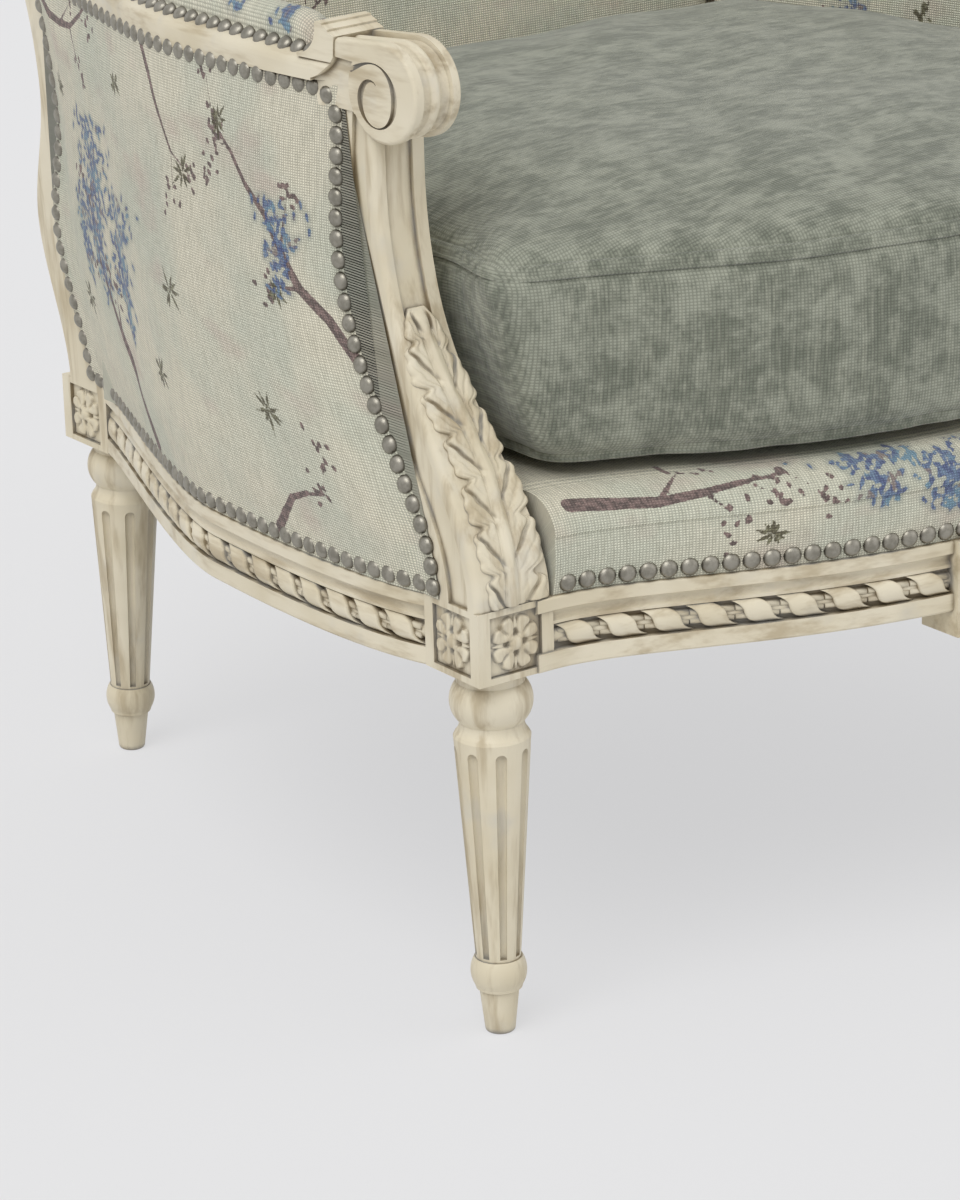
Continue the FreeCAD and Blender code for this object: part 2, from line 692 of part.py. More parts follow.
def arm_pad(arm):
    low = ARM_HEIGHT
    side = low + 6.0
    crown = low + PAD_RISE
    inner = ARM_WIDTH - PAD_MARGIN
    section = [
        ((PAD_MARGIN, low), (PAD_MARGIN, side)),
        ((PAD_MARGIN, side), (ARM_WIDTH / 2, crown), (inner, side)),
        ((inner, side), (inner, low)),
        ((inner, low), (PAD_MARGIN, low)),
    ]
    path = side_edges(ARM_PLAN, 0, 14.0)
    roll = swept(path, section, inward_of(path[0]))
    start = SCROLL_Y + PAD_START
    end = REAR_LEG_Y - PAD_REAR
    turn = 26.0
    outline = face([
        line(at(start, low), at(end, low)),
        line(at(end, low), at(end, low + 4)),
        arc(at(end, low + 4), at(end - turn * 0.35, low + PAD_RISE * 0.72), at(end - turn, crown)),
        line(at(end - turn, crown), at(start + turn, crown)),
        arc(at(start + turn, crown), at(start + turn * 0.35, low + PAD_RISE * 0.72), at(start, low + 4)),
        line(at(start, low + 4), at(start, low)),
    ])
    return cut(roll.common(across(outline, -WIDTH, 0)), arm)


# Rear stiles and the crest rail share one side view: bowed below, leaning above

def stile_edges(shift, top):
    """Rear edge of the back frame in side view, moved forward by shift."""
    base = REAR_LEG_Y + 17.0 - shift
    bow = RAIL_TOP + 107
    waist = RAIL_TOP + 210
    start = REAR_LEG_Y + 22.0 - shift
    rise = BACK_START - waist
    lower = bezier([at(base, RAIL_TOP), at(base, RAIL_TOP + 37), at(base + STILE_SWELL, bow - 35),
                    at(base + STILE_SWELL, bow)])
    middle = bezier([at(base + STILE_SWELL, bow), at(base + STILE_SWELL, bow + 35),
                     at(start - 10, waist - 38), at(start - 10, waist)])
    upper = bezier([at(start - 10, waist), at(start - 10, waist + 0.4 * rise),
                    at(start - 0.35 * rise * LEAN, BACK_START - 0.35 * rise), at(start, BACK_START)])
    lean = line(at(start, BACK_START), at(start + LEAN * (top - BACK_START), top))
    return [lower, middle, upper, lean]


def frame_slab():
    """Side view of the back frame, made solid across the whole chair."""
    top = HEIGHT + 10
    front = stile_edges(STILE_THICK, top)
    return across(side_region(front, stile_edges(0.0, top)), -WIDTH, WIDTH)


def stile_foot():
    """Extra depth of the stile where it stands on its block."""
    base = REAR_LEG_Y + 17.0 - STILE_FOOT
    front = [bezier([at(base, RAIL_TOP), at(base, RAIL_TOP + 60), at(base + 31, RAIL_TOP + 80),
                     at(base + 34, RAIL_TOP + 150)])]
    rear_x = REAR_LEG_Y + 10
    rear = [line(at(rear_x, RAIL_TOP), at(rear_x, RAIL_TOP + 150))]
    return across(side_region(front, rear), -WIDTH, WIDTH)


def stile_front_view():
    outer = SIDE_REAR_X
    top = outer - STILE_FLARE
    edge = [V(outer, 0, RAIL_TOP), V(outer - 4, 0, RAIL_TOP + 130),
            V(top + 2, 0, BACK_START), V(top, 0, CREST_SPRING)]
    inner = [V(p.x + STILE_WIDTH, 0, p.z) for p in edge]
    return face([bezier(edge), line(edge[3], inner[3]), bezier(inner), line(inner[0], edge[0])])


def rear_stile(panel):
    slab = frame_slab().fuse(stile_foot())
    return cut(slab.common(through(stile_front_view())), panel)


def crest_outline(inset):
    """Left half of the crest's front outline, moved in by inset."""
    outer = SIDE_REAR_X - STILE_FLARE + inset
    shoulder = SHOULDER - inset
    crown = HEIGHT - inset
    corner = 45.0 - 0.5 * inset
    side = bezier([V(outer, 0, CREST_SPRING), V(outer, 0, shoulder - 12 + 0.3 * inset),
                   V(outer + corner - 20, 0, shoulder), V(outer + corner + 12, 0, shoulder)])
    arch = bezier([V(outer + corner + 12, 0, shoulder), V(outer / 2, 0, shoulder),
                   V(outer / 2.6, 0, crown), V(0, 0, crown)])
    return [side, arch]


def crest_rail():
    outer = crest_outline(0.0)
    inner = crest_outline(CREST_WIDTH)
    foot = line(inner[0].firstVertex().Point, outer[0].firstVertex().Point)
    middle = line(outer[1].lastVertex().Point, inner[1].lastVertex().Point)
    half = face([foot] + outer + [middle] + list(reversed(inner)))
    left = through(half).common(frame_slab())
    return largest(left.fuse(mirrored(left)).removeSplitter())


# Outside coverings: thin panels that follow the curve of the side and of the back

def wall(levels):
    """Loft of closed plan outlines; each level is height, outer inset, inner inset."""
    wires = []
    for z, outer, inner in levels:
        out = side_edges(blended(z, outer), z, 30.0)
        into = side_edges(blended(z, inner), z, 30.0)
        front_end = line(ends(into)[0], ends(out)[0])
        rear_end = line(ends(out)[1], ends(into)[1])
        wires.append(Part.Wire(out + [rear_end] + list(reversed(into)) + [front_end]))
    return Part.makeLoft(wires, True, False)


def opening(rear_shift):
    """Side view of the opening between post, seat rail, stile and arm."""
    post = post_rear_edge(0.0)
    rear = stile_edges(rear_shift, HEIGHT)[:3]
    bottom = line(ends(post)[0], ends(rear)[0])
    corner = 22.0
    top = REBATE_TOP
    limit = face([bottom] + rear + [line(ends(rear)[1], ends(post)[1])] + list(reversed(post)))
    solid = across(limit, -WIDTH, 0)
    lid = across(face([
        line(at(-DEPTH, RAIL_TOP), at(DEPTH, RAIL_TOP)),
        line(at(DEPTH, RAIL_TOP), at(DEPTH, top)),
        line(at(DEPTH, top), at(SCROLL_Y + 30 + corner, top)),
        arc(at(SCROLL_Y + 30 + corner, top), at(SCROLL_Y + 30 + 0.3 * corner, top - 0.3 * corner),
            at(SCROLL_Y + 30, top - corner)),
        line(at(SCROLL_Y + 30, top - corner), at(-DEPTH, top - corner)),
        line(at(-DEPTH, top - corner), at(-DEPTH, RAIL_TOP)),
    ]), -WIDTH, 0)
    return solid.common(lid)


def panel_levels():
    """Heights of the side covering, each with its outer and inner inset."""
    middle = (RAIL_TOP + REBATE_TOP) / 2
    swelled = PANEL_INSET - PANEL_BULGE
    return [
        (RAIL_TOP, PANEL_INSET, PANEL_INSET + FABRIC),
        (middle - 60, swelled, swelled + FABRIC),
        (middle + 60, swelled, swelled + FABRIC),
        (REBATE_TOP, PANEL_INSET, PANEL_INSET + FABRIC),
    ]


def side_panel():
    return largest(wall(panel_levels()).common(opening(24.0)))


def side_rebate():
    """The side covering and all that lies outside it, for cutting the arm back."""
    levels = [(z, -ARM_WIDTH, inner) for z, outer, inner in panel_levels()]
    return largest(wall(levels).common(opening(24.0)))


def back_view():
    """Front outline of everything set inside the back frame."""
    edges = crest_outline(CREST_WIDTH)
    left = edges[0].firstVertex().Point
    foot_x = SIDE_REAR_X + STILE_WIDTH
    side = bezier([V(foot_x, 0, RAIL_TOP), V(foot_x - 4, 0, RAIL_TOP + 130),
                   V(left.x + 1, 0, BACK_START), left])
    middle = line(V(0, 0, RAIL_TOP), edges[1].lastVertex().Point)
    base = line(V(0, 0, RAIL_TOP), side.firstVertex().Point)
    half = face([base, side] + edges + [middle])
    solid = through(half)
    return solid.fuse(mirrored(solid)).removeSplitter()


def back_panel(frame_pieces):
    """Outside back covering, just inside the rear face of the frame."""
    top = HEIGHT
    sunk = 3.0
    region = side_region(stile_edges(sunk + FABRIC, top), stile_edges(sunk, top))
    return cut(across(region, -WIDTH, WIDTH).common(back_view()), *frame_pieces)


def back_pad(frame_pieces):
    """Inside back padding: fuller at the loins, rounded over at its edge."""
    rear_y = REAR_LEG_Y - 14.0
    foot = RAIL_TOP + 24.0
    top = HEIGHT
    start = REAR_LEG_Y + 22.0 - STILE_THICK
    end_y = start + LEAN * (top - BACK_START)
    rear = [line(at(rear_y, foot), at(rear_y + 1, RAIL_TOP + 210)),
            bezier([at(rear_y + 1, RAIL_TOP + 210), at(rear_y + 2, BACK_START - 30),
                    at(start - 30 * LEAN, BACK_START - 30), at(start, BACK_START)]),
            line(at(start, BACK_START), at(end_y, top))]
    full = BACK_PAD
    front = [bezier([at(rear_y - full, foot), at(rear_y - full - 6, RAIL_TOP + 100),
                     at(rear_y - full - 4, RAIL_TOP + 180), at(rear_y - full + 4, RAIL_TOP + 240)]),
             bezier([at(rear_y - full + 4, RAIL_TOP + 240), at(rear_y - full + 14, RAIL_TOP + 320),
                     at(end_y - full - LEAN * 200, top - 200), at(end_y - full + 2, top)])]
    slab = across(side_region(front, rear), -WIDTH, WIDTH)
    pad = slab.common(back_view())
    return cut(pad, *frame_pieces)


def side_pad(neighbours):
    """Inside arm padding, swelling towards the seat."""
    low = RAIL_TOP + 24.0
    middle = (low + ARM_BOTTOM) / 2
    gap = PAD_GAP
    levels = [
        (low, gap, gap + SIDE_PAD - 4),
        (middle - 50, gap, gap + SIDE_PAD + 3),
        (middle + 50, gap, gap + SIDE_PAD + 3),
        (ARM_BOTTOM, gap, gap + SIDE_PAD - 4),
    ]
    front = post_rear_edge(12.0)
    rear_y = REAR_LEG_Y + 17.0 - STILE_FOOT - 2.0
    limit = [line(at(rear_y, RAIL_TOP), at(rear_y, SCROLL_Z))]
    solid = wall(levels).common(across(side_region(front, limit), -WIDTH, 0))
    return cut(solid, *neighbours)


def tack_rail(neighbours):
    """Hidden bar on the seat rail that the side coverings are nailed to."""
    low = RAIL_TOP
    high = RAIL_TOP + 24.0
    section = [
        ((PANEL_INSET + FABRIC, low), (PANEL_INSET + FABRIC, high)),
        ((PANEL_INSET + FABRIC, high), (RAIL_THICK, high)),
        ((RAIL_THICK, high), (RAIL_THICK, low)),
        ((RAIL_THICK, low), (PANEL_INSET + FABRIC, low)),
    ]
    path = side_edges(RAIL_PLAN, 0, 12.0)
    rail = swept(path, section, inward_of(path[0]))
    return cut(rail, *neighbours)


def back_tack_rail(neighbours):
    solid = box((-REAR_LEG_X, REAR_LEG_Y - 12, RAIL_TOP), (REAR_LEG_X, REAR_LEG_Y + 6, RAIL_TOP + 60))
    return cut(solid, *neighbours)


# Seat: webbing on the rails, sprung deck over it, cloth below

def seat_outline(front_inset, side_inset, rear_y):
    """Closed plan of the seat inside the rails' outer faces."""
    left = [p + V(0, front_inset, 0) for p in front_points()]
    right = [V(-p.x, p.y, 0) for p in reversed(left)]
    side = [V(x + side_inset, y, 0) for x, y in RAIL_PLAN]
    other = [V(-p.x, p.y, 0) for p in side]
    rear = V(side[7].x, rear_y, 0)
    rear_right = V(-side[7].x, rear_y, 0)
    turn = V(left[0].x, side[0].y, 0)
    turn_right = V(-left[0].x, side[0].y, 0)
    edges = [bezier(left), bezier(right), line(right[3], turn_right)]
    if (turn_right - other[0]).Length > 0.01:
        edges.append(line(turn_right, other[0]))
    edges += [bezier(other[:4]), bezier(other[4:]), line(other[7], rear_right)]
    edges += [line(rear_right, rear), line(rear, side[7]), bezier(side[4:]), bezier(side[:4])]
    if (turn - side[0]).Length > 0.01:
        edges.append(line(side[0], turn))
    edges.append(line(turn, left[0]))
    return Part.Face(Part.Wire(Part.__sortEdges__(edges)))


def seat_deck(neighbours):
    """Sprung and covered deck, with a rounded front border over the rail."""
    side_inset = PAD_GAP + SIDE_PAD
    rear_y = REAR_LEG_Y - 14.0 - BACK_PAD
    plan = seat_outline(2.0, side_inset, rear_y)
    deck = plan.extrude(V(0, 0, DECK_HEIGHT - RAIL_TOP))
    deck.translate(V(0, 0, RAIL_TOP))
    top_edges = [edge for edge in deck.Edges if abs(edge.CenterOfMass.z - DECK_HEIGHT) < 0.1]
    front = [edge for edge in top_edges if edge.CenterOfMass.y < FRONT_LEG_Y - BLOCK / 2]
    deck = deck.makeFillet(DECK_ROUND, front)
    well = seat_outline(RAIL_THICK + 2, RAIL_THICK + 8, REAR_LEG_Y - 6)
    plug_low = RAIL_TOP - 12.0
    plug = well.extrude(V(0, 0, RAIL_TOP - plug_low))
    plug.translate(V(0, 0, plug_low))
    return cut(deck.fuse(plug).removeSplitter(), *neighbours)


def straps(lengthwise, neighbours):
    """Webbing straps; the crosswise ones lie on the lengthwise ones."""
    top = RAIL_TOP - 12.0
    low = top - (2 * WEB_THICK if lengthwise else WEB_THICK)
    pitch = 78.0
    group = []
    for number in range(5):
        middle = (number - 2) * pitch
        start = middle - WEB_WIDTH / 2
        if lengthwise:
            strap = Part.makeBox(WEB_WIDTH, DEPTH, WEB_THICK, V(start, -DEPTH / 2, low))
        else:
            strap = Part.makeBox(WIDTH, WEB_WIDTH, WEB_THICK, V(-WIDTH / 2, start - 10, low))
        group.append(cut(strap.common(inside_rails()), *neighbours))
    return Part.makeCompound(group)


def inside_rails():
    plan = seat_outline(RAIL_THICK - 6, RAIL_THICK - 8, REAR_LEG_Y - 2)
    solid = plan.extrude(V(0, 0, RAIL_HEIGHT))
    solid.translate(V(0, 0, RAIL_BOTTOM))
    return solid


def corner_brace(front, neighbours):
    """Glued block across an inner corner of the seat frame."""
    x = FRONT_LEG_X if front else REAR_LEG_X
    y = FRONT_LEG_Y if front else REAR_LEG_Y
    into = 1 if front else -1
    low = RAIL_BOTTOM + 6
    arm = 84.0
    corner = V(-x, y, low)
    points = [corner, corner + V(arm, 0, 0), corner + V(arm, into * 14, 0), corner + V(14, into * arm, 0),
              corner + V(0, into * arm, 0), corner]
    solid = Part.Face(Part.makePolygon(points)).extrude(V(0, 0, 22))
    return cut(solid.common(inside_rails()), *neighbours)


def dust_cover(neighbours):
    low = RAIL_BOTTOM + 2.0
    layer = box((-WIDTH, -DEPTH, low), (WIDTH, DEPTH, low + 1.2))
    return cut(inside_rails().common(layer), *neighbours)


# Loose cushion: serpentine front, drawn-in sides, boxing between two seams, crown

def wall_x(y, inset):
    """Where the side curve, moved in by inset, stands at a given depth y."""
    points = blended(CUSHION_BASE + CUSHION_BOXING / 2, inset)
    half = points[:4] if y < points[3][1] else points[4:]
    low, high = 0.0, 1.0
    for _ in range(30):
        t = (low + high) / 2
        weights = ((1 - t) ** 3, 3 * t * (1 - t) ** 2, 3 * t * t * (1 - t), t ** 3)
        here = sum(w * p[1] for w, p in zip(weights, half))
        low, high = (t, high) if here < y else (low, t)
    return sum(w * p[0] for w, p in zip(weights, half))


def cushion_outline(z, inset, wing):
    """Closed plan of arcs; wing is the half width in front of the arm posts."""
    front_y = FRONT_FACE_Y + 14.0 + inset
    bow_y = RAIL_FRONT_Y + 10.0 + inset
    rear_y = REAR_LEG_Y - 14.0 - BACK_PAD - 8.0 - inset
    wing_x = wing - inset
    neck_x = min(wing, CUSHION_NECK) - inset
    turn = max(6.0, 30.0 - 0.4 * inset)
    wing_y = max(FRONT_LEG_Y + 16.0, front_y + turn + 1.0)
    neck_y = max(SCROLL_Y + 22.0, wing_y + 40.0)
    gap = PAD_GAP + SIDE_PAD + 3.0 + CUSHION_GAP + inset
    side_y = (neck_y + rear_y) / 2
    end_y = rear_y - turn

    def side(y):
        return V(wall_x(y, gap), y, z)

    corner = V(turn * 0.5 - wing_x, front_y + 2, z)
    bow = V(-0.72 * wing_x, 0.35 * bow_y + 0.65 * front_y, z)
    rear_corner = side(end_y) + V(turn, turn, 0)
    left = [
        (V(0, bow_y, z), V(-0.42 * wing_x, 0.78 * bow_y + 0.22 * front_y, z), bow),
        (bow, V(-0.86 * wing_x, 0.08 * bow_y + 0.92 * front_y, z), corner),
        (corner, V(1 - wing_x, front_y + turn * 0.4, z), V(-wing_x, wing_y, z)),
        (V(-wing_x, wing_y, z), V(1.5 - 0.6 * neck_x - 0.4 * wing_x, (wing_y + neck_y) / 2, z),
         V(-neck_x, neck_y, z)),
        (V(-neck_x, neck_y, z), side(0.55 * neck_y + 0.45 * side_y), side(side_y)),
        (side(side_y), side((side_y + end_y) / 2), side(end_y)),
        (side(end_y), side(end_y) + V(0.28 * turn, 0.72 * turn, 0), rear_corner),
    ]
    edges = [arc(a, b, c) for a, b, c in left]
    edges.append(line(rear_corner, V(-rear_corner.x, rear_corner.y, z)))
    for a, b, c in reversed(left):
        edges.append(arc(V(-c.x, c.y, z), V(-b.x, b.y, z), V(-a.x, a.y, z)))
    return Part.Wire(edges)


def seat_cushion():
    low = CUSHION_BASE
    high = CUSHION_BASE + CUSHION_BOXING
    middle = (low + high) / 2
    crown = CUSHION_CROWN
    base = DECK_HEIGHT + SOFT_CLEARANCE
    belly = low - base
    levels = [
        (base, 62.0, CUSHION_WING_LOW),
        (base + 0.3 * belly, 22.0, CUSHION_WING_LOW),
        (low, 3.0, CUSHION_WING_LOW),
        (low + 0.2 * CUSHION_BOXING, 0.8, 0.8 * CUSHION_WING_LOW + 0.2 * CUSHION_WING),
        (middle, 0.0, (CUSHION_WING_LOW + CUSHION_WING) / 2),
        (high - 0.2 * CUSHION_BOXING, 0.8, 0.2 * CUSHION_WING_LOW + 0.8 * CUSHION_WING),
        (high, 3.0, CUSHION_WING),
        (high + 0.16 * crown, 7.0, CUSHION_WING),
        (high + 0.34 * crown, 17.0, CUSHION_WING),
        (high + 0.52 * crown, 36.0, CUSHION_WING),
        (high + 0.68 * crown, 60.0, CUSHION_WING),
        (high + 0.82 * crown, 85.0, CUSHION_WING),
        (high + 0.92 * crown, 110.0, CUSHION_WING),
        (high + crown, 140.0, CUSHION_WING),
    ]
    wires = [cushion_outline(z, inset, wing) for z, inset, wing in levels]
    return Part.makeLoft(wires, True, True)


def write(name, shape):
    if shape.isNull() or not shape.isValid():
        raise ValueError("invalid piece: " + name)
    size = shape.optimalBoundingBox(False, False)
    print("%-22s solids %d  size %6.1f %6.1f %6.1f" % (
        name, len(shape.Solids), size.XLength, size.YLength, size.ZLength))
    shape.exportStep("parts/%s.step" % name)


def build():
    pieces = {}

    def pair(name, left):
        pieces[name + "_left"] = mirrored(left)
        pieces[name + "_right"] = left

    front = front_leg()
    rear = rear_leg()
    blocks = [front, mirrored(front), rear, mirrored(rear)]
    centre = centre_block()
    front_bar = front_rail(blocks, centre)
    side_bar = side_rail(blocks)
    back_bar = back_rail(blocks)
    rails = [front_bar, side_bar, mirrored(side_bar), back_bar]
    panel = side_panel()
    stile = rear_stile(panel)
    arm = arm_rail(panel, stile)
    post = arm_post(arm, panel)
    crest = crest_rail()
    pad = arm_pad(arm)
    frame_pieces = [stile, mirrored(stile), crest]
    outside = back_panel(frame_pieces)
    inside = back_pad(frame_pieces)
    tack = tack_rail([panel, post, stile])
    back_tack = back_tack_rail([stile, mirrored(stile), inside, outside, tack, mirrored(tack)])
    inner = side_pad([panel, post, arm, stile, tack, inside, back_tack])
    sides = [post, mirrored(post), stile, mirrored(stile), tack, mirrored(tack), inner, mirrored(inner)]
    deck = seat_deck(rails + blocks + [centre] + sides + [inside, back_tack])
    front_brace = corner_brace(True, rails + blocks)
    rear_brace = corner_brace(False, rails + blocks)
    long_straps = straps(True, rails + blocks + [centre])
    cross_straps = straps(False, rails + blocks + [centre])
    braces = [front_brace, mirrored(front_brace), rear_brace, mirrored(rear_brace)]
    cover = dust_cover(rails + blocks + [centre] + braces)

    pair("front_leg", front)
    pair("back_leg", rear)
    pieces["front_rail"] = front_bar
    pieces["front_centre_block"] = centre
    pair("side_rail", side_bar)
    pieces["back_rail"] = back_bar
    pair("arm_post", post)
    pair("arm_rail", arm)
    pair("arm_pad", pad)
    pair("back_stile", stile)
    pieces["crest_rail"] = crest
    pair("side_panel", panel)
    pair("side_pad", inner)
    pair("side_tack_rail", tack)
    pieces["back_tack_rail"] = back_tack
    pieces["back_panel"] = outside
    pieces["back_pad"] = inside
    pieces["seat_deck"] = deck
    pieces["webbing_lengthwise"] = long_straps
    pieces["webbing_crosswise"] = cross_straps
    pair("front_brace", front_brace)
    pair("rear_brace", rear_brace)
    pieces["dust_cover"] = cover
    pieces["seat_cushion"] = seat_cushion()
    return pieces


os.makedirs("parts", exist_ok=True)
for piece_name, piece_shape in build().items():
    write(piece_name, piece_shape)
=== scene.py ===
# %% [markdown]
# # A closed-arm chair in painted wood
# The chair comes in as a ready made solid model, in metres, standing where it should.
# Everything made here is either a better finish for those solids or a soft, carved or
# nailed piece that they only hint at.

# %% Load the chair
import math
import bpy
import bmesh
import numpy as np
from mathutils import Matrix, Vector


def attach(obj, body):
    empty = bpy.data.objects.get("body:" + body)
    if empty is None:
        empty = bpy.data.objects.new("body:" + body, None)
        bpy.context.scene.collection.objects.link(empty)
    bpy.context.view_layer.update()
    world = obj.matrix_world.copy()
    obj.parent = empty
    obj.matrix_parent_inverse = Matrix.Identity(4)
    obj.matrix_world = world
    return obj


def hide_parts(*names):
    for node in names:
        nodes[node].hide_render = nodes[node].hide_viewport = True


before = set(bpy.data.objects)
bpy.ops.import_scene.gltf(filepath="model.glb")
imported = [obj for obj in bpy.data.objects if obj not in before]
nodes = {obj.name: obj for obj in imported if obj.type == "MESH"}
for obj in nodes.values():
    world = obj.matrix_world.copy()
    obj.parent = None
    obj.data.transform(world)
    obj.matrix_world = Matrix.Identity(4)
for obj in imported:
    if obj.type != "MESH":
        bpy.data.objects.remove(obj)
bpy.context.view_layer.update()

# %% [markdown]
# ## The camera
# The picture was taken from the chair's front right-hand corner, from above, with a long
# lens. Where the camera stood was worked out from the legs and rails, so its place is
# given directly, and its turn is built from the three directions right, up and back.

# %% Camera
HEADING = math.radians(35.08)
TILT = math.radians(19.2)
ROLL = math.radians(-1.68)
ahead = Vector((math.sin(HEADING) * math.cos(TILT), math.cos(HEADING) * math.cos(TILT), -math.sin(TILT)))
level = Vector((math.cos(HEADING), -math.sin(HEADING), 0.0))
above = level.cross(ahead)
right = level * math.cos(ROLL) + above * math.sin(ROLL)
up = above * math.cos(ROLL) - level * math.sin(ROLL)
camera = bpy.data.objects.new("camera", bpy.data.cameras.new("camera"))
bpy.context.scene.collection.objects.link(camera)
camera.data.lens = 129.94
camera.data.sensor_width = 36.0
camera.data.clip_end = 50.0
turn = Matrix((right, up, -ahead)).transposed()
camera.matrix_world = Matrix.Translation((-1.6982, -2.2347, 1.1055)) @ turn.to_4x4()
bpy.context.scene.camera = camera
print("camera stands", round(camera.location.length, 2), "m from the chair")

# %% [markdown]
# ## Light and floor
# The picture has a seamless pale ground and almost no shadow. A grey world gives most of
# the light, one broad sun gives the forms their shape, and the floor is a single large
# sheet, so its tone is even wherever the lamps are.

# %% World, sun and floor
scene = bpy.context.scene
scene.view_settings.view_transform = "Standard"
world = bpy.data.worlds.new("studio")
scene.world = world
world.use_nodes = True
world.node_tree.nodes["Background"].inputs["Color"].default_value = (1.0, 1.0, 1.0, 1.0)
world.node_tree.nodes["Background"].inputs["Strength"].default_value = 0.52


def seen_directly(tree):
    """1 where the camera, a mirror or glass looks straight at it, else 0."""
    path = tree.nodes.new("ShaderNodeLightPath")
    total = path.outputs["Is Camera Ray"]
    for extra in ("Is Glossy Ray", "Is Transmission Ray"):
        add = tree.nodes.new("ShaderNodeMath")
        add.use_clamp = True
        tree.links.new(total, add.inputs[0])
        tree.links.new(path.outputs[extra], add.inputs[1])
        total = add.outputs[0]
    return total


backdrop = world.node_tree.nodes.new("ShaderNodeBackground")
backdrop.inputs["Color"].default_value = (0.80, 0.80, 0.81, 1.0)
backdrop.inputs["Strength"].default_value = 1.0
choice = world.node_tree.nodes.new("ShaderNodeMixShader")
world.node_tree.links.new(seen_directly(world.node_tree), choice.inputs[0])
world.node_tree.links.new(world.node_tree.nodes["Background"].outputs[0], choice.inputs[1])
world.node_tree.links.new(backdrop.outputs[0], choice.inputs[2])
world.node_tree.links.new(choice.outputs[0], world.node_tree.nodes["World Output"].inputs["Surface"])


def sun(name, strength, towards, spread):
    """A broad sun that shines along a direction."""
    lamp = bpy.data.lights.new(name, "SUN")
    lamp.energy = strength
    lamp.angle = math.radians(spread)
    holder = bpy.data.objects.new(name, lamp)
    holder.rotation_mode = "QUATERNION"
    holder.rotation_quaternion = Vector(towards).to_track_quat("-Z", "Y")
    scene.collection.objects.link(holder)


sun("key", 1.35, (0.62, 0.35, -0.95), 40)
sun("fill", 0.35, (-0.75, 0.7, -0.5), 60)

floor_mesh = bpy.data.meshes.new("floor")
reach = 30.0
floor_mesh.from_pydata([(-reach, -reach, 0), (reach, -reach, 0), (reach, reach, 0), (-reach, reach, 0)], [],
                       [(0, 1, 2, 3)])
floor = bpy.data.objects.new("floor", floor_mesh)
scene.collection.objects.link(floor)
floor_paint = bpy.data.materials.new("floor_paint")
floor_paint.use_nodes = True
floor_shader = floor_paint.node_tree.nodes["Principled BSDF"]
floor_shader.inputs["Base Color"].default_value = (0.83, 0.83, 0.84, 1.0)
floor_shader.inputs["Roughness"].default_value = 0.9
floor_mesh.materials.append(floor_paint)
floor_glow = floor_paint.node_tree.nodes.new("ShaderNodeEmission")
floor_glow.inputs["Color"].default_value = (0.80, 0.80, 0.81, 1.0)
floor_share = floor_paint.node_tree.nodes.new("ShaderNodeMath")
floor_share.operation = "MULTIPLY"
floor_share.inputs[1].default_value = 0.72
floor_blend = floor_paint.node_tree.nodes.new("ShaderNodeMixShader")
floor_links = floor_paint.node_tree.links
floor_links.new(seen_directly(floor_paint.node_tree), floor_share.inputs[0])
floor_links.new(floor_share.outputs[0], floor_blend.inputs[0])
floor_links.new(floor_shader.outputs[0], floor_blend.inputs[1])
floor_links.new(floor_glow.outputs[0], floor_blend.inputs[2])
floor_links.new(floor_blend.outputs[0], floor_paint.node_tree.nodes["Material Output"].inputs["Surface"])

# %% [markdown]
# ## Writing materials
# Each finish is a small graph of nodes. A few helpers keep the graphs readable: add a
# node and set its sockets, wire numbers together, and blend colours. Patterns read object
# coordinates, which are metres on this chair, or a piece's own colour layer.

